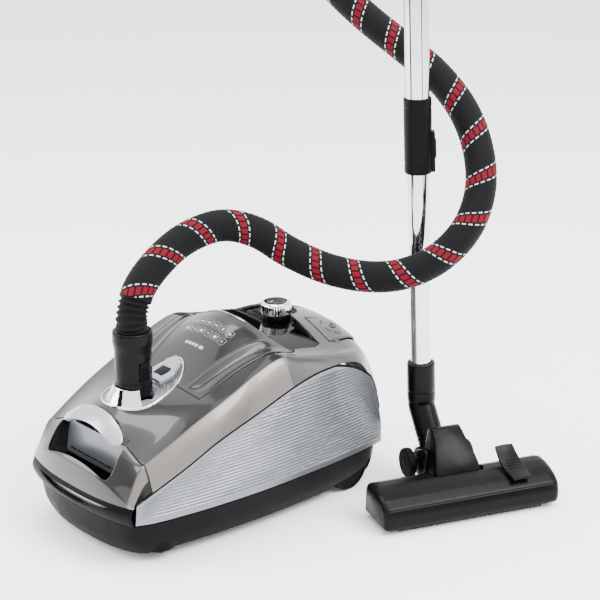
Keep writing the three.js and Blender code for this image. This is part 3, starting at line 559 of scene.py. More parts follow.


# %% [markdown]
# The shells are ABS with a metallic lacquer under a clear coat. The flakes make the base coat sparkle a
# little and reflect broadly, while the coat reflects sharply. The lid is lacquered grey on top and
# lighter on its shoulders, partly the champagne of a second tone and partly a painted highlight where the
# shoulders turn towards the light, so its colour follows an attribute that the surface carries.

# %% Lacquers
def lacquer(name, code, lighter, roughness=0.34, metallic=0.72, coat=0.6, shoulder_tone_and_highlight=None):
    """Metallic lacquer: flakes of 1.2 mm vary the base colour, and a clear coat lies over them."""
    material, tree, shader = finish(name, metallic=metallic, roughness=roughness, coat_weight=coat,
                                    coat_roughness=0.06)
    place = add(tree, "ShaderNodeTexCoord")
    flakes = add(tree, "ShaderNodeTexNoise", {"Vector": place.outputs["Object"], "Scale": 1000 / 1.2,
                                              "Detail": 2.0})
    base = add(tree, "ShaderNodeMix", {"Factor": flakes.outputs["Fac"]}, data_type="RGBA")
    base.inputs[6].default_value, base.inputs[7].default_value = linear(code), linear(lighter)
    colour = base.outputs[2]
    # The shoulder colour is partly the lacquer's champagne second tone and partly a painted highlight where
    # the shoulders turn towards the light.
    if shoulder_tone_and_highlight:
        side = add(tree, "ShaderNodeAttribute", attribute_name="shoulder_tone_and_highlight")
        two_tone_and_highlight = add(tree, "ShaderNodeMix", {"Factor": side.outputs["Fac"]}, data_type="RGBA")
        tree.links.new(colour, two_tone_and_highlight.inputs[6])
        two_tone_and_highlight.inputs[7].default_value = linear(shoulder_tone_and_highlight)
        colour = two_tone_and_highlight.outputs[2]
    tree.links.new(colour, shader.inputs["Base Color"])
    mottled(tree, shader, roughness - 0.03, roughness + 0.03, 25, "Roughness")
    return material


# Grey on top; the lighter shoulder colour is champagne with a painted highlight in it.
grey_lacquer = lacquer("metallic_grey_lacquer", "282625", "32302f", shoulder_tone_and_highlight="69645f")
champagne_lacquer = lacquer("champagne_lacquer", "474443", "514d4c")
silver_lacquer = lacquer("ribbed_silver_lacquer", "696c70", "777a7e", roughness=0.38, metallic=0.8, coat=0.25)
pale_lacquer = lacquer("pale_silver_lacquer", "95989d", "a2a5aa", roughness=0.28, metallic=0.55, coat=0.6)


def plated(name, code, roughness):
    """Chrome plating: a full metal whose roughness wanders a little with handling marks."""
    material, tree, shader = finish(name, metallic=1.0, base_color=linear(code))
    mottled(tree, shader, roughness * 0.6, roughness * 1.6, 22, "Roughness")
    return material


chrome = plated("chrome_plate", "dcdee2", 0.05)
tube_steel = plated("chromed_steel_tube", "d9dbdf", 0.07)
print("lacquers and chrome ready")


# %% [markdown]
# The hose's sleeve is a black braid with one woven band that winds round it: red blocks between two dashed
# white lines. The band is where the winding coordinate, turns plus length over pitch, is near a whole
# number. The dashes and blocks change along the band, which is the other direction of the same two numbers.

# %% Textile of the hose, fleece, windings and bristles
WIND_PITCH = 0.0615
WIND_START = 0.57
BAND_SHARE = 0.28


def math_node(tree, operation, a, b=0.0):
    """One step of arithmetic on two values or outputs."""
    node = add(tree, "ShaderNodeMath", operation=operation)
    for socket, value in zip(node.inputs, (a, b)):
        if isinstance(value, bpy.types.NodeSocket):
            tree.links.new(value, socket)
        else:
            socket.default_value = value
    return node.outputs[0]


def woven_sleeve():
    """Braid and band from the hose's own map, whose first number is turns and whose second is metres."""
    material, tree, shader = finish("braided_textile", roughness=0.62, sheen_weight=0.01, sheen_roughness=0.4,
                                    specular_ior_level=0.08)
    wound = add(tree, "ShaderNodeUVMap", uv_map="wound")
    parts = add(tree, "ShaderNodeSeparateXYZ", {"Vector": wound.outputs["UV"]})
    turn, metres = parts.outputs["X"], parts.outputs["Y"]
    along_turns = math_node(tree, "ADD", math_node(tree, "DIVIDE", metres, WIND_PITCH), WIND_START)
    winding = math_node(tree, "SUBTRACT", along_turns, turn)
    sleeved = math_node(tree, "GREATER_THAN", metres, 0.042)
    across_band = math_node(tree, "SUBTRACT", math_node(tree, "FRACT", winding), 0.5)
    from_middle = math_node(tree, "ABSOLUTE", across_band)
    along_band = math_node(tree, "ADD", math_node(tree, "MULTIPLY", turn, 15.0),
                           math_node(tree, "MULTIPLY", metres, 18.0))
    step = math_node(tree, "FRACT", along_band)
    half = BAND_SHARE / 2
    in_red = math_node(tree, "MULTIPLY", math_node(tree, "LESS_THAN", from_middle, half * 0.6),
                       math_node(tree, "LESS_THAN", step, 0.72))
    near_edge = math_node(tree, "LESS_THAN", math_node(
        tree, "ABSOLUTE", math_node(tree, "SUBTRACT", from_middle, half)), 0.015)
    half_step = math_node(tree, "FRACT", math_node(tree, "ADD", along_band, 0.35))
    in_dash = math_node(tree, "MULTIPLY", near_edge, math_node(tree, "LESS_THAN", half_step, 0.62))
    threads_round = math_node(tree, "SINE", math_node(tree, "MULTIPLY", math_node(
        tree, "ADD", turn, math_node(tree, "MULTIPLY", metres, 3.0)), 2 * math.pi * 60))
    threads_along = math_node(tree, "SINE", math_node(tree, "MULTIPLY", metres, 2 * math.pi / 0.0024))
    weave = math_node(tree, "MULTIPLY", threads_round, threads_along)
    shade = add(tree, "ShaderNodeMapRange", {"Value": weave, "From Min": -1.0, "From Max": 1.0})
    in_red, in_dash = (math_node(tree, "MULTIPLY", part, sleeved) for part in (in_red, in_dash))
    black = add(tree, "ShaderNodeMix", {"Factor": shade.outputs["Result"]}, data_type="RGBA")
    black.inputs[6].default_value, black.inputs[7].default_value = linear("040405"), linear("0f0f12")
    red = add(tree, "ShaderNodeMix", {"Factor": in_red}, data_type="RGBA")
    tree.links.new(black.outputs[2], red.inputs[6])
    red.inputs[7].default_value = linear("650417")
    white = add(tree, "ShaderNodeMix", {"Factor": in_dash}, data_type="RGBA")
    tree.links.new(red.outputs[2], white.inputs[6])
    white.inputs[7].default_value = linear("b4b8b7")
    tree.links.new(white.outputs[2], shader.inputs["Base Color"])
    bump = add(tree, "ShaderNodeBump", {"Height": weave, "Strength": 0.5, "Distance": 0.0005})
    tree.links.new(bump.outputs["Normal"], shader.inputs["Normal"])
    return material


braid = woven_sleeve()
# Non-woven filter fleece: pale, very rough, with loose fibres that clump every few millimetres.
fleece = plastic("filter_fleece", "d6d3ca", "e6e3dc", (0.85, 0.95), 3.0, 0.5)
# Lacquered copper windings on dark steel, seen only with the shells open.
winding = plastic("copper_windings", "8a4f2c", "a5653a", (0.32, 0.45), 1.6, 0.3, metallic=0.85)
# Black nylon bristles.
nylon = plastic("nylon_bristle", "18181a", "242427", (0.4, 0.55), 1.0, 0.05, ior=1.53)
print("textiles ready")


# %% [markdown]
# ## The canister's shell
# A few curves give the shell's shape along its length: how wide it is, how high its crown, and where the
# crease runs on which the lid turns down to the side panel. Every sheet of the shell reads these same
# curves.

# %% Curves of the shell
half_width = curve([[-232, 112], [-203, 124], [-150, 134], [-100, 140.5], [-20, 146], [90, 146], [160, 142],
                    [205, 136], [234, 126]])
crown_z = curve([[-205, 181], [-178, 191], [-140, 197], [-100, 202], [-82, 207], [-40, 235], [0, 259],
                 [33, 270],
                 [80, 266], [120, 257], [160, 247], [190, 235], [212, 214], [228, 182], [234, 148]])
crease_z = curve([[-205, 142], [-155, 167], [-128, 180], [-67, 206], [-20, 226], [24, 238], [60, 231],
                  [100, 224],
                  [138, 217], [180, 210], [205, 196], [222, 172], [234, 144]])
crease_x = curve([[-205, 107], [-155, 114], [-67, 120], [24, 121], [100, 118], [160, 113], [205, 108],
                  [234, 104]])
panel_top_z = curve([[-228, 92], [-203, 109], [-151, 134], [-103, 157], [-33, 181], [34, 201], [82, 209],
                     [130, 208], [165, 198], [190, 178], [205, 158], [234, 138]])
crown_power = curve([[-205, 2], [-80, 1.5], [33, 2.5], [90, 1.8], [138, 1.25], [234, 1]])


def nose_y(x):
    """The front end's place along y: it falls back from the middle with the 2.6th power of the distance
    across."""
    return -247 + 17 * (np.abs(x) / 117) ** 2.6


def tail_y(x):
    """The rear end's place along y: it comes forward from the middle with the cube of the distance across."""
    return TAIL_Y - 30 * (np.abs(x) / 130) ** 3


def panel_lean(z):
    """How far a side panel leans in at a height: it grows with the square of the height above its foot."""
    return 7 * np.clip((z - 64) / 142, 0, 1) ** 2


def crown_at(x, y):
    """Height of the crown: the crease's height plus a bow that falls to nothing at the crease."""
    s = np.minimum(np.abs(x) / crease_x(y), 1)
    return crease_z(y) + (crown_z(y) - crease_z(y)) * (1 - s ** 2) ** crown_power(y)


def upper_shell(t, y):
    """The shell from one side panel's top to the other's: t runs from -1 to 1, and |t| = 0.76 is the
    crease."""
    side, reach = np.sign(t), np.abs(t)
    x_top = crease_x(y) * np.minimum(reach / 0.76, 1)
    k = np.clip((reach - 0.76) / 0.24, 0, 1)
    x = np.where(reach <= 0.76, x_top, mix(crease_x(y), half_width(y) - panel_lean(panel_top_z(y)), k))
    z = np.where(reach <= 0.76, crown_at(x_top, y),
                 mix(crease_z(y), panel_top_z(y), k) + 4 * np.sin(math.pi * k))
    fall_back = (TAIL_Y - tail_y(x)) * np.clip((y - 120) / 114, 0, 1) ** 2
    return np.stack([side * x, y - fall_back, z], -1)


def footprint(inset):
    """The chassis outline at a distance inside the shell."""
    right = [[x * (1 - inset / 104), nose_y(x) + inset] for x in (0, 30, 60, 85, 104)]
    for y in (-222 + inset, -203 + inset / 2, -165, -120, -60, 0, 60, 120, 165, 192 - inset / 2):
        right.append([half_width(y) - inset, y])
    right += [[x * (1 - inset / 124), tail_y(x) - inset] for x in (124, 104, 70, 35, 0)]
    right = np.array(right, float)
    left = right[-2:0:-1] * [-1, 1]
    return np.vstack([right, left])


def egg(inset, count=48, centre=-138):
    """The inlet's opening: a circle in front and a long ellipse behind."""
    a = 2 * math.pi * np.arange(count) / count
    s = np.sin(a)
    x = (47 - inset) * (1 - 0.12 * np.maximum(s, 0)) * np.cos(a)
    y = centre + (np.where(s > 0, 82, 47) - inset) * s
    return np.column_stack([x, y])


print("shell curves ready")


# %% [markdown]
# ## Chassis
# The black tub under everything. Its wheel wells and the caster cups are hollow, its edge is rounded, and a
# shallow step runs round it where the shells sit.

# %% Chassis, bumper and its lip
def outline_rings(levels, rounds=2):
    """The footprint, drawn in by an inset and rounded, once for each pair of height and inset."""
    return np.array([level(softened(footprint(inset), rounds), z) for z, inset in levels])


chassis = solid("chassis_tub", outline_rings([(14, 16.5), (15, 14.2), (24, 10.2), (34, 7), (46, 5.2), (55, 4),
                                              (60, 3.2), (61.5, 4.2), (63, 4.4)]), CANISTER, 40)
wells = []
for side in (-1, 1):
    well = level(rounded_rectangle(28, 78, 5) + [side * WHEEL_X, WHEEL_Y], -16)
    wells.append((np.stack([well, well + [0, 0, 60]]), CANISTER))
    around = np.linspace(0, 2 * math.pi, 48, endpoint=False)
    swivel = np.column_stack([24 * np.cos(around) + side * CASTER_X, 24 * np.sin(around) + CASTER_Y])
    wells.append((prism(swivel, -2, 43), CANISTER))
cut(chassis, wells + [(outline_rings([(17, 18), (36, 11), (65, 6.5)]), CANISTER)])


def caster_cup(side):
    """The hollow cup that a caster swivels in, on one side."""
    cup = hollow_turned("caster_cup", [(26.5, 14.2), (26.5, 45.8), (5.6, 45.8), (5.6, 43), (24, 43),
                                       (24, 14.2)],
                        moved(CANISTER, (side * CASTER_X, CASTER_Y, 0)), ease=0.4)
    return cup


caster_cups = [caster_cup(-1), caster_cup(1)]


def bumper_point(low, high, reach, outset):
    """A band round the nose: it bulges by 4 sin(pi v) and follows the nose's curve."""
    def at(u, v):
        x = mix(-reach, reach, u)
        return np.stack([x, nose_y(x) - outset - 4 * np.sin(math.pi * v), mix(low, high, v)], -1)
    return at


bumper = sheet("front_bumper_band", sheet_points(bumper_point(64, 89.5, 114, 0), 120, 24), 5)
crescent = np.array([[-86, 83.5]] + [[x, 83.5 - 12 * math.cos(x / 86 * math.pi / 2)]
                                     for x in np.linspace(-86, 86, 25)[1:-1]] + [[86, 83.5]])
crescent_cut = np.stack([np.column_stack([crescent[:, 0], np.full(len(crescent), y), crescent[:, 1]])
                         for y in (-215, -262)])
cut(bumper, [(crescent_cut, CANISTER)])
soft_edges(bumper, 0.9, 40)
bumper_lip = sheet("bumper_lip", sheet_points(bumper_point(69, 86, 92, -7), 90, 12), 2)
print("chassis", len(chassis.data.polygons), "bumper", len(bumper.data.polygons))


# %% Nose cover with its recess
def nose_point(u, v):
    """From the bumper up over a rolled lip, then back and up to the lid's seam."""
    x = mix(-116, 116, u)
    front = nose_y(x)
    lip_z = 123 - 26 * (np.abs(x) / 117) ** 2.2
    low = np.clip(v / 0.3, 0, 1)
    k = np.clip((v - 0.3) / 0.7, 0, 1)
    seam_z = crown_at(np.minimum(np.abs(x), 107), -205.0) - 2.2 * np.maximum(np.abs(x) - 107, 0)
    y = np.where(v < 0.3, front + 3 * low ** 2, mix(front + 3, -203.5, k))
    z = np.where(v < 0.3, mix(90, lip_z, low), mix(lip_z, seam_z, np.sin(math.pi * k / 2) ** 1.15))
    return np.stack([x, y, z], -1)


nose = sheet("nose_shell", sheet_points(nose_point, 150, 70), 3)
opening = softened([[-70, -238], [-55, -241], [55, -241], [70, -238], [72, -225], [66, -195], [-66, -195],
                    [-72, -225]], 2)
cut(nose, [(prism(opening, 60, 230), CANISTER)])
soft_edges(nose, 0.8, 45)
print("nose", len(nose.data.polygons))

back_axes = inside(CANISTER, np.array(Matrix.Rotation(math.radians(80), 3, "X")), (0, -204.5, 131))
back_plate = solid("recess_plate", plate(128, 46, 3, 8, 0.7), back_axes, 50)
vent_slots = [solid("recess_slot", plate(14, 2.2, 0.6, 1.0, 0.15, 1.7), moved(back_axes, (x, -15, 0)))
              for x in range(-48, 49, 16)]


def handle_point(u, v):
    """The latch handle, a blade that crosses the recess and drops towards both sides."""
    a = mix(-1, 1, u)
    y = mix(-219 - 2 * a ** 2 + 11 * np.abs(a) ** 10, -196 - 5 * a ** 2 - 5 * np.abs(a) ** 10, v)
    crest = 1.6 * np.sin(math.pi * np.clip(v, 0, 1)) ** 0.7
    z = 184 + 0.62 * (y + 205) - 21 * np.abs(a) ** 2.2 + crest - 0.8
    return np.stack([64 * a, y, z], -1)


latch_handle = sheet("latch_handle_blade", sheet_points(handle_point, 110, 30), 5.6)
soft_edges(latch_handle, 1.2, 50)
print("latch handle", len(latch_handle.data.polygons))


# %% [markdown]
# ## Lids and hood
# The lid, the raised accessory lid on it and the hood behind it are sheets of the same shell. The grey
# lacquer of the lid turns lighter at the crease, partly the champagne second tone and partly a painted
# highlight where the shoulders turn towards the light; an attribute on the surface carries it.

# %% Dust lid
def lid_point(u, v):
    """The part of the upper shell from the nose to the hood."""
    return upper_shell(mix(-1, 1, u), mix(-203, 29, v))


lid = sheet("dust_lid_shell", sheet_points(lid_point, 170, 110), 3)
cut(lid, [
    (prism([[-86, -93], [86, -93], [106, 48], [106, 90], [-106, 90], [-106, 48]], 100, 320), CANISTER),
    (prism(egg(0), 100, 320), CANISTER),
    (prism([[-67, -210], [67, -210], [67, -196], [33, -191], [-33, -191], [-67, -196]], 100, 320), CANISTER),
])
soft_edges(lid, 0.9, 45)


def paint_shoulder_tone_and_highlight(item, keep_front):
    """Writes the attribute for the lighter shoulders: 1 outside the crease's line, where the colour is the
    champagne tone with a painted highlight in it.
    """
    mesh = item.data
    position = np.zeros(len(mesh.vertices) * 3)
    mesh.vertices.foreach_get("co", position)
    local = position.reshape(-1, 3) * 1000 - CANISTER[1]
    crease = crease_x(local[:, 1])
    value = fade(-1.2, 1.2, np.abs(local[:, 0]) - crease) if keep_front else fade(-1.2, 1.2,
                                                                                  np.abs(local[:, 0]) - 107)
    layer = mesh.attributes.new("shoulder_tone_and_highlight", "FLOAT", "POINT")
    layer.data.foreach_set("value", value.astype(np.float32))


# Lid and nose: lighter shoulders, champagne with a painted highlight in it.
paint_shoulder_tone_and_highlight(lid, True)
paint_shoulder_tone_and_highlight(nose, False)
print("lid", len(lid.data.polygons))


# %% Accessory lid
def control_front_y(x):
    """The front edge of the control panel, which bows forward in the middle."""
    return 33 + 28 * (x / 100) ** 2


def accessory_point(u, v):
    """The raised lid over the accessories: a plateau with a soft ridge round it, scooped on both sides."""
    t = mix(-1, 1, u)
    y_back = control_front_y(104 * t * 0.96) - 0.5
    y = mix(-92.0, y_back, v)
    edge = mix(85, 104, np.clip((y + 92) / 140, 0, 1)) - 0.5
    x = edge * t
    z = crown_at(x, y)
    inner = 52 + 26 * v
    ridge = 1.5 * np.exp(-((np.abs(x) - inner) / 3.5) ** 2)
    scoop = -3.0 * np.exp(-((np.abs(x) - inner - 12) / 8.0) ** 2)
    calm = fade(0, 0.14, v) * fade(0, 0.28, 1 - v) * fade(0, 0.12, 1 - np.abs(t))
    return np.stack([x, y, z + (ridge + scoop) * calm], -1)


accessory = sheet("accessory_lid_shell", sheet_points(accessory_point, 150, 110), 3)
cut(accessory, [(prism(egg(0), 100, 320), CANISTER)])
soft_edges(accessory, 0.9, 45)
# The accessory lid's shoulders get the same champagne with a painted highlight in it.
paint_shoulder_tone_and_highlight(accessory, True)


def on_crown(x, y, lift):
    """A small set of axes that lies on the crown at a point, its z along the surface's normal."""
    dx = (crown_at(x + 1, float(y)) - crown_at(x - 1, float(y))) / 2
    dy = (crown_at(x, y + 1.0) - crown_at(x, y - 1.0)) / 2
    normal = np.array([-dx, -dy, 1.0])
    normal /= np.linalg.norm(normal)
    across = np.cross([0, 1, 0], normal)
    across /= np.linalg.norm(across)
    origin = np.array([x, y, float(crown_at(x, float(y)))]) + lift * normal
    return inside(CANISTER, np.column_stack([across, np.cross(normal, across), normal]), origin)


marks = []
for row in range(2):
    for k in range(6):
        place = on_crown(-37.5 + 15 * k, 2 - 15 * row, 0.12)
        ring = swept(rounded_rectangle(11, 11, 2, 4)[:, [0, 1, 1]] * [1, 1, 0], 0.35, 0.15, 6, (0, 0, 1))
        frame_faces = grid_faces(len(ring), 6, True, True).tolist()
        marks.append(new_piece("lid_mark", ring[::-1], frame_faces, place))
        marks.append(solid("lid_mark", plate(5 if (k + row) % 2 else 2.6, 2.4 if k % 2 else 5, 0.3, 0.5,
                                             0.1), place))
for x, width in ((-14, 5), (-7, 5), (0, 5), (7, 5), (17, 8)):
    marks.append(solid("lid_mark", plate(width, 5, 0.3, 0.8, 0.1), on_crown(x, -34, 0.12)))
print("accessory lid", len(accessory.data.polygons), "marks", len(marks))


# %% Rear hood
def control_outline(inset):
    """The control panel's outline: an arc in front and a round end behind the knob."""
    xs = np.linspace(-98, 98, 25)
    front = np.column_stack([xs * (1 - inset / 98), control_front_y(xs) + inset])
    right = [[101 - inset, 104], [96 - inset, 117 - inset], [32, 120 - inset]]
    arc = [[(30 - inset) * math.cos(a), 120 + (30 - inset) * math.sin(a)]
           for a in np.radians(np.linspace(12, 168, 14))]
    left = [[-x, y] for x, y in right[::-1]]
    return np.vstack([front, right, arc, left])


def pedal_outline(inset, side):
    """A pedal's six corners drawn in by an inset, mirrored for the left side."""
    points = np.array([[42 + inset, 137 + inset], [95 - inset, 137 + inset], [98 - inset, 150],
                       [87 - inset, 196 - inset], [78, 200 - inset], [42 + inset, 194 - inset]])
    return points if side > 0 else (points * [-1, 1])[::-1]


hood = sheet("rear_hood_shell", sheet_points(lambda u, v: upper_shell(mix(-1, 1, u), mix(29.5, 234, v)),
                                             170, 110), 3)
cut(hood, [
    (prism([[-106, 0], [106, 0], [106, 60], [101.5, 66], [-101.5, 66], [-106, 60]], 100, 320), CANISTER),
    (prism(control_outline(-0.6), 100, 320), CANISTER),
    (prism(pedal_outline(-0.8, 1), 100, 320), CANISTER),
    (prism(pedal_outline(-0.8, -1), 100, 320), CANISTER),
])
soft_edges(hood, 0.9, 45)


def panel_plane_z(x, y):
    """The panel's height: almost level along the canister, and falling with the square of the distance
    across."""
    return 242 - 0.04 * (y - 40) - 12 * (x / 100) ** 2


panel = sheet("control_panel_sheet", sheet_points(
    lambda u, v: np.stack([mix(-104, 104, u), mix(28, 156, v),
                           panel_plane_z(mix(-104, 104, u), mix(28, 156, v))], -1),
    70, 44), 3)
cut(panel, [(prism(control_outline(0.3), 200, 270), CANISTER)], "INTERSECT")
shaft = np.column_stack([5 * np.cos(np.linspace(0, 2 * math.pi, 32, endpoint=False)),
                         120 + 5 * np.sin(np.linspace(0, 2 * math.pi, 32, endpoint=False))])
cut(panel, [(prism(shaft, 200, 270), CANISTER)])
soft_edges(panel, 0.8, 45)


def pedal_point(side):
    """A pedal's sheet: it follows the crown, stands a little above it and turns down at its edges."""
    def at(u, v):
        y = mix(138.6, mix(192.4, 198.2, u), v)
        x = mix(43.6, mix(94.4, 84.4, v ** 2), u)
        z = crown_at(x, y) + 1.5 - 1.2 * (1 - fade(0, 0.05, v) * fade(0, 0.05, 1 - v)
                                          * fade(0, 0.05, u) * fade(0, 0.05, 1 - u))
        dome = 2.6 * (1 - fade(13.5, 17.5, np.hypot(x - 69, y - 166)))
        return np.stack([x, y, z + dome], -1)

    def flipped(u, v):
        return at(1 - u, v) * [-1, 1, 1]
    return at if side > 0 else flipped


pedals = {side: sheet("foot_pedal", sheet_points(pedal_point(side), 80, 80), 6) for side in (1, -1)}
for side in (1, -1):
    soft_edges(pedals[side], 0.8, 45)


def pedal_mark(side):
    """A ring with a bar, or a plug's two pins, printed on a pedal's dome."""
    x, y = 69 * side, 166
    place = on_crown(x, y, 4.3)
    if side > 0:
        ring = swept(np.array([[5 * math.cos(a), 5 * math.sin(a), 0]
                               for a in np.radians(np.linspace(125, 415, 30))]), 0.6, 0.25, 8, (0, 0, 1))
        return [solid("power_mark", ring[:, ::-1], place),
                solid("power_mark", plate(1.2, 5, 0.5, 0.5, 0.15), moved(place, (0, 4, 0)))]
    return [solid("cord_mark", plate(8, 1.2, 0.5, 0.5, 0.15), place),
            solid("cord_mark", plate(1.2, 5, 0.5, 0.5, 0.15), moved(place, (-2.2, 3, 0))),
            solid("cord_mark", plate(1.2, 5, 0.5, 0.5, 0.15), moved(place, (2.2, 3, 0)))]


marks_on = {side: pedal_mark(side) for side in (1, -1)}
print("hood", len(hood.data.polygons), "panel", len(panel.data.polygons))


# %% Silver trim along the rear edge of the accessory lid
trim_x = np.linspace(-66, 34, 60)
trim_y = control_front_y(trim_x) - 3.5
trim_path = np.column_stack([trim_x, trim_y, crown_at(trim_x, trim_y) + 0.2])
front_trim = solid("front_trim", swept(trim_path, 0.5, 1.3, 10, (0, 0, 1)), CANISTER, 60)
print("trim", len(front_trim.data.polygons))


# %% Suction knob
knob_axes = moved(CANISTER, (0, 120, 0))


def ribs(count, depth, low, high):
    """Ribs round the side of a turned body, between two heights."""
    def wave(profile, angle):
        there = ((profile[:, 1] > low) & (profile[:, 1] < high))[:, None]
        return there * depth * (0.5 + 0.5 * np.cos(count * angle))[None, :]
    return wave


knob_ring = hollow_turned("knob_base_ring", [(21, 239.8), (21, 247), (19.6, 248), (6, 248), (6, 239.8)],
                          knob_axes, 96)
knob = turned("suction_knob", [(4, 231), (4, 247.6), (20.4, 247.6), (21.2, 249), (21.2, 262), (20.2, 264.4),
                               (17.6, 266), (13.4, 266.4), (0.01, 266.4)], knob_axes, 216, 0.8,
              ribs(36, 0.9, 248.5, 263))
knob_cap = turned("knob_cap", [(13.2, 265.9), (13.2, 267.0), (12.4, 267.4), (0.01, 267.5)], knob_axes, 64,
                  0.3)
knob_pointer = solid("knob_pointer", plate(1.6, 6, 0.4, 0.7, 0.15), moved(CANISTER, (0, 111.5, 267.5)))
print("knob", len(knob.data.polygons))


# %% [markdown]
# ## Sides and back
# The silver side panels carry level ribs, under 5 mm apart, that swell out and step back in like
# clapboards. They grow smooth towards the edges. A dark strip of painted shade lies in the gap under the
# hood, where the inside of the gap is in shadow.

# %% Ribbed side panels
RIB_PITCH = 4.7


def panel_point(side):
    """A side panel's sheet, from its foot to the crease and from the nose to the rear."""
    def at(u, v):
        y = mix(mix(-226, -224, v), 204, u)
        top = panel_top_z(y) - 3.2
        fall = 60 * np.clip((y - 180) / 26, 0, 1) ** 2 + 12 * np.clip((y - 110) / 60, 0, 1)
        z = mix(64.5, top, v) - fall * np.clip((v - 0.3) / 0.7, 0, 1)
        x = half_width(y) - panel_lean(z)
        phase = ((z - 70) / RIB_PITCH) % 1.0
        saw = np.where(phase < 0.82, phase / 0.82, (1 - phase) / 0.18)
        calm = fade(0.0, 0.03, u) * fade(0.0, 0.025, 1 - u) * fade(70, 73, z) * fade(3.0, 6.0, top - z)
        return np.stack([x + 1.5 * (saw - 0.5) * calm, y, z], -1)

    def flipped(u, v):
        return at(1 - u, v) * [-1, 1, 1]
    return at if side > 0 else flipped


panels = {side: sheet("ribbed_side_panel", sheet_points(panel_point(side), 90, 340), 3, CANISTER, 28)
          for side in (1, -1)}


def shade_strip_line(side):
    """A dark strip of painted shade in the gap between panel and lid, from nose to tail."""
    ys = np.linspace(-214, 200, 120)
    drop = 60 * np.clip((ys - 180) / 26, 0, 1) ** 2 + 12 * np.clip((ys - 110) / 60, 0, 1)
    z = panel_top_z(ys) - 1.8 - drop * 0.93
    path = np.column_stack([side * (half_width(ys) - panel_lean(z) - 1.6), ys, z])
    rings = swept(path, 1.5, 2.0, 12, (1, 0, 0))
    return solid("painted_shade_strip", rings, CANISTER, 60)


# The dark strips along the gap under the hood are painted shade.
shade_strips = [shade_strip_line(side) for side in (1, -1)]
print("panel faces", len(panels[1].data.polygons))


# %% Exhaust cover, cord outlet and rear axle
def exhaust_point(u, v):
    """The exhaust cover's sheet, which follows the rear end and leans a little."""
    x = mix(118, -118, u)
    return np.stack([x, tail_y(x) - 3 * (1 - v), mix(64.5, 136, v)], -1)


exhaust = sheet("exhaust_cover_sheet", sheet_points(exhaust_point, 110, 34), 3)
slots = []
for row in range(5):
    outline = rounded_rectangle(150, 5, 2.4)
    slot = np.stack([np.column_stack([outline[:, 0], np.full(len(outline), y), outline[:, 1] + 78 + 11 * row])
                     for y in (260, 200)])
    slots.append((slot, CANISTER))
bore_angle = np.linspace(0, 2 * math.pi, 32, endpoint=False)
bore = np.stack([np.column_stack([96 + 7 * np.cos(bore_angle), np.full(32, y), 100 + 7 * np.sin(bore_angle)])
                 for y in (260, 190)])
cut(exhaust, slots + [(bore, CANISTER)])
soft_edges(exhaust, 0.6, 45)
gland_axes = inside(CANISTER, facing_y(), (96, float(tail_y(96)) + 2, 100))
gland = hollow_turned("cord_gland", [(7, -6), (7, 2), (10, 2), (10, 5), (3.6, 5), (3.6, -6)], gland_axes, 48)
print("exhaust", len(exhaust.data.polygons))


# %% Big wheels and casters
def grooved(count, depth, least_radius, low, high):
    """Grooves across a tyre's tread."""
    def wave(profile, angle):
        there = ((profile[:, 0] > least_radius) & (profile[:, 1] > low) & (profile[:, 1] < high))[:, None]
        return -depth * (there * (np.cos(count * angle) > 0.55)[None, :])
    return wave


def big_wheel(side):
    """A rear wheel: tyre with fine grooves, dished disc and hub. The profile runs along the axle."""
    axes = inside(CANISTER, facing_x(), (side * WHEEL_X, WHEEL_Y, WHEEL_Z))
    profile = [(3.2, -10), (30.5, -10), (33, -8.6), (34, -6), (34, 6), (33, 8.6), (30.5, 10), (28.5, 8.4),
               (12, 8.0), (11, 9.8), (7, 10), (3.2, 10)]
    return hollow_turned("rear_wheel", profile, axes, 240, 1.2, grooved(60, 0.5, 33.2, -7, 7))


def small_wheel(side):
    """A caster's tyre, turned round its axle on one side."""
    axes = inside(CANISTER, facing_x(), (side * CASTER_X, CASTER_Y + 6, 16))
    profile = [(1.6, -6.5), (13, -6.5), (15.2, -5.4), (16, -3.4), (16, 3.4), (15.2, 5.4), (13, 6.5), (9, 6.5),
               (8.4, 5.6), (5.4, 5.6), (4.8, 6.5), (1.6, 6.5)]
    return hollow_turned("caster_tyre", profile, axes, 72, 1.0)


wheels = {side: big_wheel(side) for side in (1, -1)}
caster_tyres = {side: small_wheel(side) for side in (1, -1)}
print("wheels", len(wheels[1].data.polygons))


# %% [markdown]
# ## Inlet
# The hose's cuff stands in an egg-shaped opening. A chrome collar rises round its front half, a bowl with
# rings like ripples sinks behind it, and a chrome tongue lies along the egg's rear end. A dark plate on the
# tongue is painted shade for the shadowed inside of its finger recess.

# %% Bezel, collar, bowl and tongue
def egg_on_crown(inset, lift):
    """The egg-shaped outline laid on the crown, drawn in by an inset and lifted."""
    outline = egg(inset, 96)
    return np.column_stack([outline, crown_at(outline[:, 0], outline[:, 1]) + lift])


bezel_rings = np.array([egg_on_crown(0.7, -4.4), egg_on_crown(0.7, 0.9), egg_on_crown(1.3, 1.7),
                        egg_on_crown(2.4, 1.9), egg_on_crown(3.4, 1.3), egg_on_crown(3.8, 0.0),
                        egg_on_crown(3.8, -4.4)])
bezel_rim = new_piece("bezel_rim", bezel_rings[::-1], grid_faces(7, 96, True, True)[:, ::-1].tolist(),
                      CANISTER, 50)


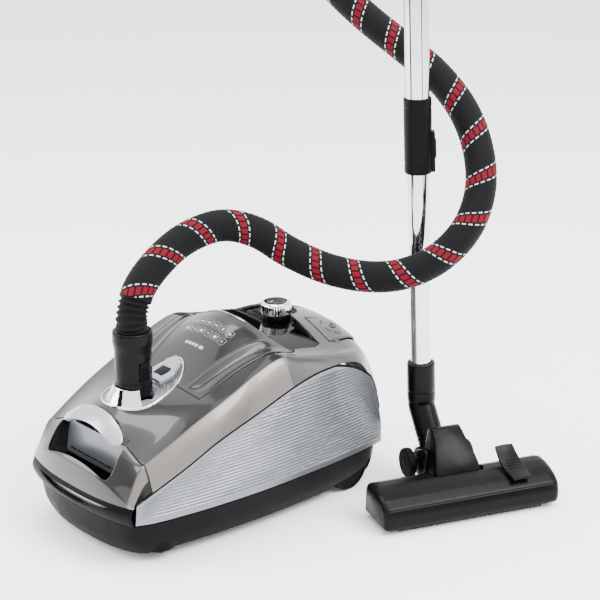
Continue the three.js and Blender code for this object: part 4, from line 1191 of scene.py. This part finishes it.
def bowl_point(u, v):
    """The bowl inside the rim: rings out from the cuff, sinking with four ripples behind it."""
    a = 2 * math.pi * u
    s = np.sin(a)
    out_x = 43.3 * (1 - 0.12 * np.maximum(s, 0)) * np.cos(a)
    out_y = np.where(s > 0, 78.3, 43.3) * s
    in_x, in_y = 27.2 * np.cos(a), 27.2 * np.sin(a)
    x, y = mix(out_x, in_x, v), mix(out_y, in_y, v) - 138
    rear = fade(-0.1, 0.5, s)
    sink = (6.5 * np.sin(math.pi * np.clip(v * 0.5 + 0.02, 0, 1)) + 1.0) * rear + 1.2 * (1 - rear)
    ripple_here = 0.8 * np.cos(2 * math.pi * v * 4.5) * rear * fade(0.02, 0.1, v) * fade(0.02, 0.1, 1 - v)
    return np.stack([x, y, crown_at(x, y) - 1.0 - sink + ripple_here], -1)


angle_steps, bowl_steps = 144, 60
uu, vv = np.meshgrid(np.arange(angle_steps) / angle_steps, np.linspace(0, 1, bowl_steps))
bowl_top = bowl_point(uu, vv)
bowl_low = bowl_top - [0, 0, 2.2]
bowl_loop = np.concatenate([bowl_top, bowl_low[::-1]])
bowl = new_piece("inlet_bowl", bowl_loop, grid_faces(2 * bowl_steps, angle_steps, True, True).tolist(),
                 CANISTER, 60)

collar_angles = np.radians(np.linspace(-158, -22, 60))
collar_profile = eased([[40.5, 0], [36.5, 5], [31.5, 12.5], [28.9, 19], [27.8, 19.8], [27.1, 18.4], [27.2, 9],
                        [27.4, 0], [40.5, 0]], 1.6)[:-1]
collar_path = np.stack([np.cos(collar_angles), np.sin(collar_angles)], -1)
collar_rings = []
for (cx, cy) in collar_path:
    base = float(crown_at(39.0 * cx, -138 + 39.0 * cy)) - 2.0
    collar_rings.append([[r * cx, -138 + r * cy, base + h] for r, h in collar_profile])
collar = solid("chrome_collar", np.array(collar_rings)[:, ::-1], CANISTER, 50)


def tongue_point(u, v):
    """The release tongue's sheet, which narrows towards the rear and is soft at its sides."""
    y = mix(-109, -63, v)
    width = np.interp(y, [-109, -87, -69, -63.0], [20, 20, 14, 4])
    x = width * mix(-1, 1, u)
    soft = 1.4 * (1 - fade(0, 0.12, u) * fade(0, 0.12, 1 - u))
    return np.stack([x, y, crown_at(x, y) + 9 - soft], -1)


tongue = sheet("release_tongue", sheet_points(tongue_point, 50, 60), 4.5, CANISTER, 50)
# The dark plate on the tongue is painted shade for its finger recess.
tongue_recess_shade = solid("tongue_recess_painted_shade", plate(20, 26, 1.2, 5, 0.4), on_crown(0, -88, 9.0), 60)
seal = hollow_turned("inlet_seal", [(34, 174), (34, 178), (25, 178), (25, 174)],
                     moved(CANISTER, (0, -138, 0)))
print("inlet", len(bowl.data.polygons), "collar", len(collar.data.polygons))


# %% Hose cuff and its latches
cuff_axes = moved(CANISTER, (0, -138, 0))
cuff = hollow_turned("hose_cuff", [(18, 194), (24.5, 194), (25.3, 198), (25.3, 213), (24.9, 213.8),
                                   (24.9, 215),
                                   (25.4, 215.8), (25.5, 246), (25.5, 258), (26.3, 264), (27.5, 271),
                                   (27.5, 283), (26.9, 285), (25.5, 286), (18, 286)], cuff_axes, 96, 0.6)
latch_slots = []
for side in (-1, 1):
    block = rounded_rectangle(13, 16.4, 0.3) + [side * 25.5, -138]
    latch_slots.append((prism(block, 218.8, 245.2), CANISTER))
cut(cuff, latch_slots)
soft_edges(cuff, 0.5, 45)


def cuff_latch(side):
    """A push button in the cuff's side, with three grip ridges."""
    axes = inside(CANISTER, facing_x(), (side * 24, -138, 232))
    body = solid("cuff_latch", plate(15, 25, 6, 2.5, 1.2), axes, 50)
    grip = [solid("latch_ridge", plate(9, 1.6, 1.2, 0.7, 0.3, side * 3.2), moved(axes, (0, h, 0)))
            for h in (-5, 0, 5)]
    return body, grip


cuff_latches = {side: cuff_latch(side) for side in (1, -1)}
print("cuff", len(cuff.data.polygons))


# %% [markdown]
# ## Wand
# A chromed lower tube slides in an upper one inside a black sleeve. The handle's grip bends forward and
# carries an air vent with a slider, and the hose's end cuff turns on its tip.

# %% Tubes, sleeve and connector
lower_tube = hollow_turned("lower_tube", [(13.8, 9), (15, 9), (15, 450), (13.8, 450)], WAND, 96, 0.3)
upper_tube = hollow_turned("upper_tube", [(15.8, 362), (17, 362), (17, 900), (15.8, 900)], WAND, 96, 0.3)
connector = hollow_turned("neck_connector", [(15.4, 8), (20, 8), (20.6, 12), (20.6, 22), (20.2, 23),
                                             (20.2, 25),
                                             (20.6, 26), (20.4, 66), (19.4, 68), (15.4, 68)], WAND, 96, 0.5)
sleeve_turn = np.array(Matrix.Rotation(math.radians(-21), 3, "Z"))
SLEEVE = inside(WAND, sleeve_turn, (0, 0, 0))
sleeve = hollow_turned("tube_sleeve", [(17.1, 354), (18.6, 354), (19.5, 356.5), (19.5, 366), (19.1, 367),
                                       (19.1, 369), (19.5, 370), (19.5, 445), (19.1, 446), (19.1, 448),
                                       (19.5, 449), (19.5, 458.5), (18.5, 461), (17.1, 461)], SLEEVE, 96, 0.5)
spine = solid("sleeve_spine", plate(15, 58, 7, 2.5, 1.6), inside(SLEEVE, facing_x(), (20.0, 0, 384)), 50)
cut(spine, [(prism(rounded_rectangle(8, 9, 1.5) + [25, 0], 372, 408), SLEEVE)])
sleeve_button = solid("sleeve_button", plate(7.6, 27.6, 3.6, 2.0, 1.1),
                      inside(SLEEVE, facing_x(), (23.4, 0, 388)), 50)
button_ridges = [solid("button_ridge", plate(5, 1.2, 0.7, 0.5, 0.2), inside(SLEEVE, facing_x(), (25.3, 0, z)))
                 for z in (380, 384, 388, 392, 396)]
print("tubes", len(upper_tube.data.polygons))


# %% Handle, slider and end cuff
GRIP_POINTS = np.array([[0, 0, 903], [0, 0, 940], [0, 3, 978], [0, 20, 1016], [0, 54, 1042], [0, 98, 1048],
                        [0, 145, 1030]], float)
grip_path, grip_lengths = smooth_route(GRIP_POINTS, 2.0)
share = grip_lengths / grip_lengths[-1]
swell = 1 + 0.035 * np.sin(math.pi * np.clip((share - 0.25) / 0.6, 0, 1))
end_round = np.sqrt(np.clip(1 - (1 - np.clip(share / 0.02, 0, 1)) ** 2, 0.72, 1))
grip = solid("handle_grip", swept(grip_path, 20 * swell * end_round, 17 * swell * end_round, 64, (1, 0, 0)),
             WAND, 50)
collar_low = hollow_turned("grip_collar", [(17.4, 848), (20, 848), (20.5, 850), (20.5, 872), (20.1, 873),
                                           (20.1, 875), (20.5, 876), (20.5, 908), (20, 910), (17.4, 910)],
                                           WAND, 96, 0.5)
cut(grip, [(prism(rounded_rectangle(14, 20, 2.5) + [0, 44], 1041, 1075), WAND)])
soft_edges(grip, 0.6, 50)
slider = solid("air_slider", plate(12.2, 14.6, 15.6, 2, 0.8), moved(WAND, (0, 44, 1052)), 50)
slider_ridges = [solid("slider_ridge", plate(8, 1.1, 0.8, 0.4, 0.2), moved(WAND, (0, 44 + d, 1060.0)))
                 for d in (-3.5, 0, 3.5)]
cuff_turn = np.array(Matrix.Rotation(math.radians(-110.5), 3, "X"))
END = inside(WAND, cuff_turn, (0, 145, 1030))
end_cuff = turned("handle_cuff", [(19.2, 0.8), (21.6, 2.5), (22.6, 6), (22.8, 12), (22.3, 13), (22.3, 15),
                                  (22.9, 16), (23.8, 46), (23.6, 50), (22, 56), (0.01, 56)], END, 96, 0.6)
print("grip", len(grip.data.polygons))


# %% [markdown]
# ## Floor head
# The head is a moulded cover over a sole plate with a suction slot. Two strips of bristles stand in its
# mouth. At the rear sit the rocker pedal and the yoke that carries the neck.

# %% Head cover and sole
HEAD_SECTION = np.array([[1, 8], [-1, 14], [-0.6, 26], [2.2, 35.5], [3.4, 36.4], [3.8, 37.6], [6, 39.6],
                         [16, 46.5],
                         [30, 51.4], [46, 54.6], [60, 55.4], [70, 52], [74, 42], [75, 8]], float)
HEAD_CENTRE = np.array([37, 26.0])


def head_rings():
    """The section is scaled about its centre, and shrinks near the ends so that they are rounded off."""
    stations = np.concatenate([[-136, -135.2, -134], np.linspace(-132, 132, 60), [134, 135.2, 136]])
    reach = np.clip((136 - np.abs(stations)) / 9, 0, 1)
    scale = 0.82 + 0.18 * np.sqrt(1 - (1 - reach) ** 2)
    section = eased(HEAD_SECTION, 2.5)
    rings = []
    for x, s in zip(stations, scale):
        yz = HEAD_CENTRE + (section - HEAD_CENTRE) * s
        yz[:, 1] = np.maximum(yz[:, 1], 8)
        rings.append(np.column_stack([np.full(len(yz), x), yz]))
    return np.array(rings)


head_ring_set = head_rings()
head_cover = solid("head_cover_shell", head_ring_set[:, ::-1], HEAD, 40)
cut(head_cover, [
    (np.stack([np.array([[-124, y, z] for y, z in [(5, -8), (69, -8), (69, 40), (16, 40), (7, 20)]]),
               np.array([[124, y, z] for y, z in [(5, -8), (69, -8), (69, 40), (16, 40), (7, 20)]])]), HEAD),
    (prism(rounded_rectangle(78, 60, 6) + [0, 76], 16, 76), HEAD),
])
soft_edges(head_cover, 0.8, 45)
sole = solid("sole_plate", plate(244, 44, 10, 8, 1.0, 5), moved(HEAD, (0, 37, 0)), 50)
cut(sole, [(prism(rounded_rectangle(206, 16, 7) + [0, 30], -5, 20), HEAD)])


def bristle_strip(y):
    """A bar with two rows of tufts, each a small cone that splays and ends ragged."""
    bar = solid("brush_bar", plate(226, 4, 4.5, 1.5, 0.5, 10), moved(HEAD, (0, y, 0)), 50)
    rng = np.random.default_rng(int(y * 10))
    xs = np.linspace(-111, 111, 112)
    vertices, faces = [], []
    for i, x in enumerate(xs):
        a = 2 * math.pi * np.arange(6) / 6
        lean_x, lean_y = rng.uniform(-0.5, 0.5, 2)
        foot = np.column_stack([x + lean_x + 1.0 * np.cos(a), y + lean_y + 1.1 * np.sin(a),
                                np.full(6, 0.5) + rng.uniform(0, 0.7, 6)])
        top = np.column_stack([x + 0.75 * np.cos(a), y + 0.8 * np.sin(a), np.full(6, 8.5)])
        base = 12 * i
        vertices.append(np.vstack([foot, top]))
        faces += [[base + k, base + (k + 1) % 6, base + 6 + (k + 1) % 6, base + 6 + k] for k in range(6)]
        faces += [[base + k for k in range(5, -1, -1)], [base + 6 + k for k in range(6)]]
    tufts = new_piece("bristle_tufts", np.vstack(vertices), faces, HEAD, 60)
    return bar, tufts


strips = {"brush_strip_front": bristle_strip(9.5), "brush_strip_rear": bristle_strip(64.5)}
print("head", len(head_cover.data.polygons))


# %% Rocker pedal, yoke, hub, elbow and neck wheels
def rocker_point(u, v):
    """A strip that widens a little in the middle and curls up at the rear with the cube of its length."""
    across = 2 * np.sin(math.pi * v)
    x = mix(64 - across, 92 + across, u)
    y = mix(6, 66, v)
    z = mix(52.7, 60.5, v) + 17 * v ** 3 + 1.2 * np.sin(math.pi * u)
    return np.stack([x, y, z], -1)


rocker = sheet("rocker_pedal", sheet_points(rocker_point, 40, 60), 4.2, HEAD, 40)
soft_edges(rocker, 1.5, 45)
rocker_ridges = []
for k in range(4):
    y = 30 + 5 * k
    v = (y - 6) / 60
    z = float(mix(52.7, 60.5, v) + 17 * v ** 3 + 1.2)
    rocker_ridges.append(solid("rocker_ridge", plate(16, 1.6, 1.2, 0.7, 0.3),
                               moved(HEAD, (78, y, z)), 50))


def side_profile(name, outline, x_low, x_high, rounds=2, bevel=1.2, taper=0.0):
    """A plate cut from an outline in y and z and given its width along x, which may narrow towards its
    top."""
    yz = softened(outline, rounds)
    narrow = 1 - taper * fade(55, 106, yz[:, 1])
    rings = np.stack([np.column_stack([x * narrow, yz]) for x in (x_low, x_high)])
    area = 0.5 * np.sum(yz[:, 0] * np.roll(yz[:, 1], -1) - np.roll(yz[:, 0], -1) * yz[:, 1])
    piece = solid(name, rings if area > 0 else rings[:, ::-1], HEAD, 40)
    return soft_edges(piece, bevel, 50)


yoke_front = side_profile("yoke_front", [[48, 28], [48, 50], [62, 72], [84, 96], [100, 106],
                                         [112, 100], [104, 76], [97, 60], [96, 40], [88, 27]], -34, 34,
                                         taper=0.34)
cheek = [[88, 27], [84, 80], [112, 70], [136, 54], [138, 40], [126, 31]]
yoke_cheeks = [side_profile("yoke_cheek", cheek, 30, 36), side_profile("yoke_cheek", cheek, -36, -30)]
barrel = turned("neck_barrel", [(17, -29.5), (20, -28), (20, 28), (17, 29.5), (0.01, 29.5)],
                inside(HEAD, facing_x(), (0, 125, 45)), 96, 1.0)
axle_pin = turned("neck_axle", [(3, -53), (3, 53), (0.01, 53)], inside(HEAD, facing_x(), (0, 125, 45)), 32,
                  0.5)
RISE = np.array([-5, 45, 67.0])
RISE = RISE / np.linalg.norm(RISE)


def axes_along(direction, origin, base=HEAD):
    """Axes whose z runs along a direction."""
    z = np.asarray(direction, float) / np.linalg.norm(direction)
    x = np.cross([0, 1, 0], z)
    x /= np.linalg.norm(x)
    return inside(base, np.column_stack([x, np.cross(z, x), z]), origin)


NECK = axes_along(RISE, (0, 125, 45))
neck_collar = turned("neck_collar", [(20, 4), (20, 26), (19.4, 27), (19.4, 29), (20, 30), (20, 33), (19, 34),
                                     (0.01, 34)], NECK, 96, 0.6)
foot = np.array([-5, 170, 112.0])
wand_up = lean_turn[:, 2]
elbow_points = np.array([np.array([0, 125, 45]) + RISE * 34.6, np.array([0, 125, 45]) + RISE * 52,
                         np.array([0, 125, 45]) + RISE * 68, foot + 0.5 * wand_up, foot + 7.4 * wand_up])
elbow_path, _ = smooth_route(elbow_points, 1.2)
elbow = solid("neck_elbow", swept(elbow_path, 19.6, 19.6, 72, (1, 0, 0)), HEAD, 40)
soft_edges(elbow, 0.8, 50)
elbow_seams = []
for height in (41, 47):
    elbow_seams.append(hollow_turned("elbow_seam",
                                     [(18.6, height), (20.2, height), (20.2, height + 2), (18.6, height + 2)],
                                     NECK, 72, 0.3))
neck_wheels = {side: hollow_turned("neck_wheel", [(3.2, -6), (18.5, -6), (20.8, -5), (21.5, -3), (21.5, 3),
                                                  (20.8, 5),
                                                  (18.5, 6), (16.5, 4.8), (7.5, 4.6), (6.8, 6), (3.2, 6)],
                                   inside(HEAD, facing_x(), (side * 46, 125, 45)), 96, 0.8)
               for side in (1, -1)}
print("neck", len(elbow.data.polygons))


# %% [markdown]
# ## Joining pieces to the frame
# Each piece takes the place of its rigid part's plain mesh and moves with that part's body. Pieces that add
# to a part ride with it. The hose is flexible; it takes the plain hose's place but rides with no body.

# %% Riding and replacing
nodes = frame["nodes"]
pending = []


def coat(piece, material):
    """Gives a piece its material."""
    piece.data.materials.clear()
    piece.data.materials.append(material)


def wear(node, pieces, material):
    """The first piece takes the plain part's place, and all of them move with its body."""
    for number, piece in enumerate(pieces if isinstance(pieces, (list, tuple)) else [pieces]):
        coat(piece, material)
        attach(piece, nodes[node]["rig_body"])
        if number == 0 and node not in pending:
            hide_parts(node)
            pending.append(node)


# Hose: the plain hose is hidden, and the new one keeps the place it is drawn in.
coat(hose, braid)
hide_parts("hose")
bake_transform(hose)

wear("lower_chassis", [chassis] + caster_cups, black_abs)
wear("front_bumper", bumper, black_abs)
wear("bumper_insert", bumper_lip, pale_lacquer)
wear("nose_cover", nose, grey_lacquer)
wear("recess_back_plate", back_plate, silver_lacquer)
wear("recess_back_plate", vent_slots, satin_abs)
wear("latch_handle", latch_handle, pale_lacquer)
wear("dust_lid", lid, grey_lacquer)
wear("accessory_lid", accessory, grey_lacquer)
wear("accessory_lid", marks, ink)
wear("rear_hood", hood, champagne_lacquer)
wear("control_panel", panel, acrylic)
wear("accessory_lid", front_trim, chrome)
wear("power_pedal", pedals[1], champagne_lacquer)
wear("rewind_pedal", pedals[-1], champagne_lacquer)
wear("power_pedal", marks_on[1], grey_cap)
wear("rewind_pedal", marks_on[-1], grey_cap)
wear("knob_base", knob_ring, satin_abs)
wear("power_knob", knob, chrome)
wear("power_knob", [knob_cap], grey_cap)
wear("power_knob", [knob_pointer], ink)
wear("side_panel_right", panels[1], silver_lacquer)
wear("side_panel_left", panels[-1], silver_lacquer)
# Dark strips of painted shade in the gap under the hood, in rubber.
wear("side_panel_right", shade_strips[0], rubber)
wear("side_panel_left", shade_strips[1], rubber)
wear("exhaust_cover", exhaust, black_abs)
wear("cord_outlet", gland, black_abs)
wear("rear_wheel_right", wheels[1], black_abs)
wear("rear_wheel_left", wheels[-1], black_abs)
wear("caster_wheel_right", caster_tyres[1], rubber)
wear("caster_wheel_left", caster_tyres[-1], rubber)
wear("inlet_bezel", [bezel_rim, collar], chrome)
wear("inlet_bezel", bowl, pale_lacquer)
wear("release_button", tongue, pale_lacquer)
# A dark plate of painted shade for the tongue's finger recess.
wear("release_button", tongue_recess_shade, satin_abs)
wear("inlet_seal", seal, rubber)
wear("hose_cuff", cuff, satin_abs)
wear("cuff_latch_right", [cuff_latches[1][0]] + cuff_latches[1][1], black_abs)
wear("cuff_latch_left", [cuff_latches[-1][0]] + cuff_latches[-1][1], black_abs)
wear("lower_tube", lower_tube, tube_steel)
wear("upper_tube", upper_tube, tube_steel)
wear("neck_connector", connector, satin_abs)
wear("tube_sleeve", [sleeve, spine], black_abs)
wear("sleeve_button", [sleeve_button] + button_ridges, satin_abs)
wear("handle_grip", [grip, collar_low], black_abs)
wear("air_slider", [slider] + slider_ridges, satin_abs)
wear("handle_cuff", end_cuff, satin_abs)
wear("head_cover", head_cover, satin_abs)
wear("sole_plate", sole, black_abs)
for name, (bar, tufts) in strips.items():
    wear(name, [bar, tufts], nylon)
wear("rocker_pedal", [rocker] + rocker_ridges, satin_abs)
wear("neck_yoke", [yoke_front] + yoke_cheeks, satin_abs)
wear("neck_hub", [barrel, neck_collar, axle_pin], satin_abs)
wear("neck_elbow", [elbow] + elbow_seams, satin_abs)
wear("neck_wheel_right", neck_wheels[1], rubber)
wear("neck_wheel_left", neck_wheels[-1], rubber)

KEPT_NODES = {"rear_axle": tube_steel, "exhaust_filter": fleece, "pre_motor_filter": fleece,
              "dust_bag": fleece,
              "motor_mount": rubber, "motor_armature": winding}
for name, item in nodes.items():
    if name in pending or name == "hose":
        continue
    item.data.materials.clear()
    item.data.materials.append(KEPT_NODES.get(name, black_abs))
print("worn", len(pending), "parts; kept", len(nodes) - len(pending) - 1)


# %% [markdown]
# ## Floor and light
# A white floor large enough to fill the view, a big soft box above on the right as key, another on the left
# as fill and one overhead. Chrome shows only what is round it, so dark cloth cards stand beside the tube
# and give it its streaks. The camera doesn't see the cards, and they throw no shadow.

# %% Floor, soft boxes and world
def flat_card(name, size, centre, turn, material):
    """A flat square card for the floor or for a reflection."""
    bpy.ops.mesh.primitive_plane_add(size=size, location=centre, rotation=turn)
    card = bpy.context.object
    card.name = name
    card.data.materials.append(material)
    return card


floor_finish, floor_tree, floor_shader = finish("white_studio_paper", roughness=0.75, specular_ior_level=0.2)
mottled(floor_tree, floor_shader, linear("fbfbfb"), linear("ffffff"), 300)
flat_card("studio_floor", 14, (0, 0, 0), (0, 0, 0), floor_finish)


def soft_box(name, place, target, width, height, power, colour=(1, 1, 1)):
    """A rectangular area light at a place, turned to face its target."""
    light = bpy.data.lights.new(name, "AREA")
    light.shape, light.size, light.size_y = "RECTANGLE", width, height
    light.energy, light.color = power, colour
    lamp = bpy.data.objects.new(name, light)
    lamp.location = place
    lamp.rotation_euler = (Vector(target) - Vector(place)).to_track_quat("-Z", "Y").to_euler()
    bpy.context.scene.collection.objects.link(lamp)
    return lamp


soft_box("key", (1.8, 0.7, 2.3), (0.1, 0.1, 0.3), 1.6, 1.6, 125)
soft_box("fill", (-1.6, -1.7, 1.5), (0.0, 0.1, 0.3), 1.2, 2.0, 65)
soft_box("top", (-0.2, 0.4, 3.0), (0.0, 0.1, 0.2), 2.4, 1.4, 105)
world = bpy.data.worlds.new("studio")
bpy.context.scene.world = world
world.use_nodes = True
backdrop = world.node_tree.nodes["Background"]
backdrop.inputs["Color"].default_value = (0.95, 0.96, 0.98, 1)
backdrop.inputs["Strength"].default_value = 2.7

dark_cloth, cloth_tree, cloth_shader = finish("black_felt_card", roughness=0.95, specular_ior_level=0.05)
mottled(cloth_tree, cloth_shader, linear("050505"), linear("0a0a0a"), 50)
tube_low, tube_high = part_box("upper_tube")
for bearing, width in ((-106, 0.42), (4, 0.26), (150, 0.5)):
    a = math.radians(bearing)
    centre = ((tube_low[0] + tube_high[0]) / 2 + 1.5 * math.cos(a),
              (tube_low[1] + tube_high[1]) / 2 + 1.5 * math.sin(a), 0.9)
    card = flat_card("dark_card", 1.0, centre, (math.radians(90), 0, a + math.pi / 2), dark_cloth)
    card.scale = (width, 1.8, 1)
    card.visible_camera = card.visible_diffuse = card.visible_shadow = False
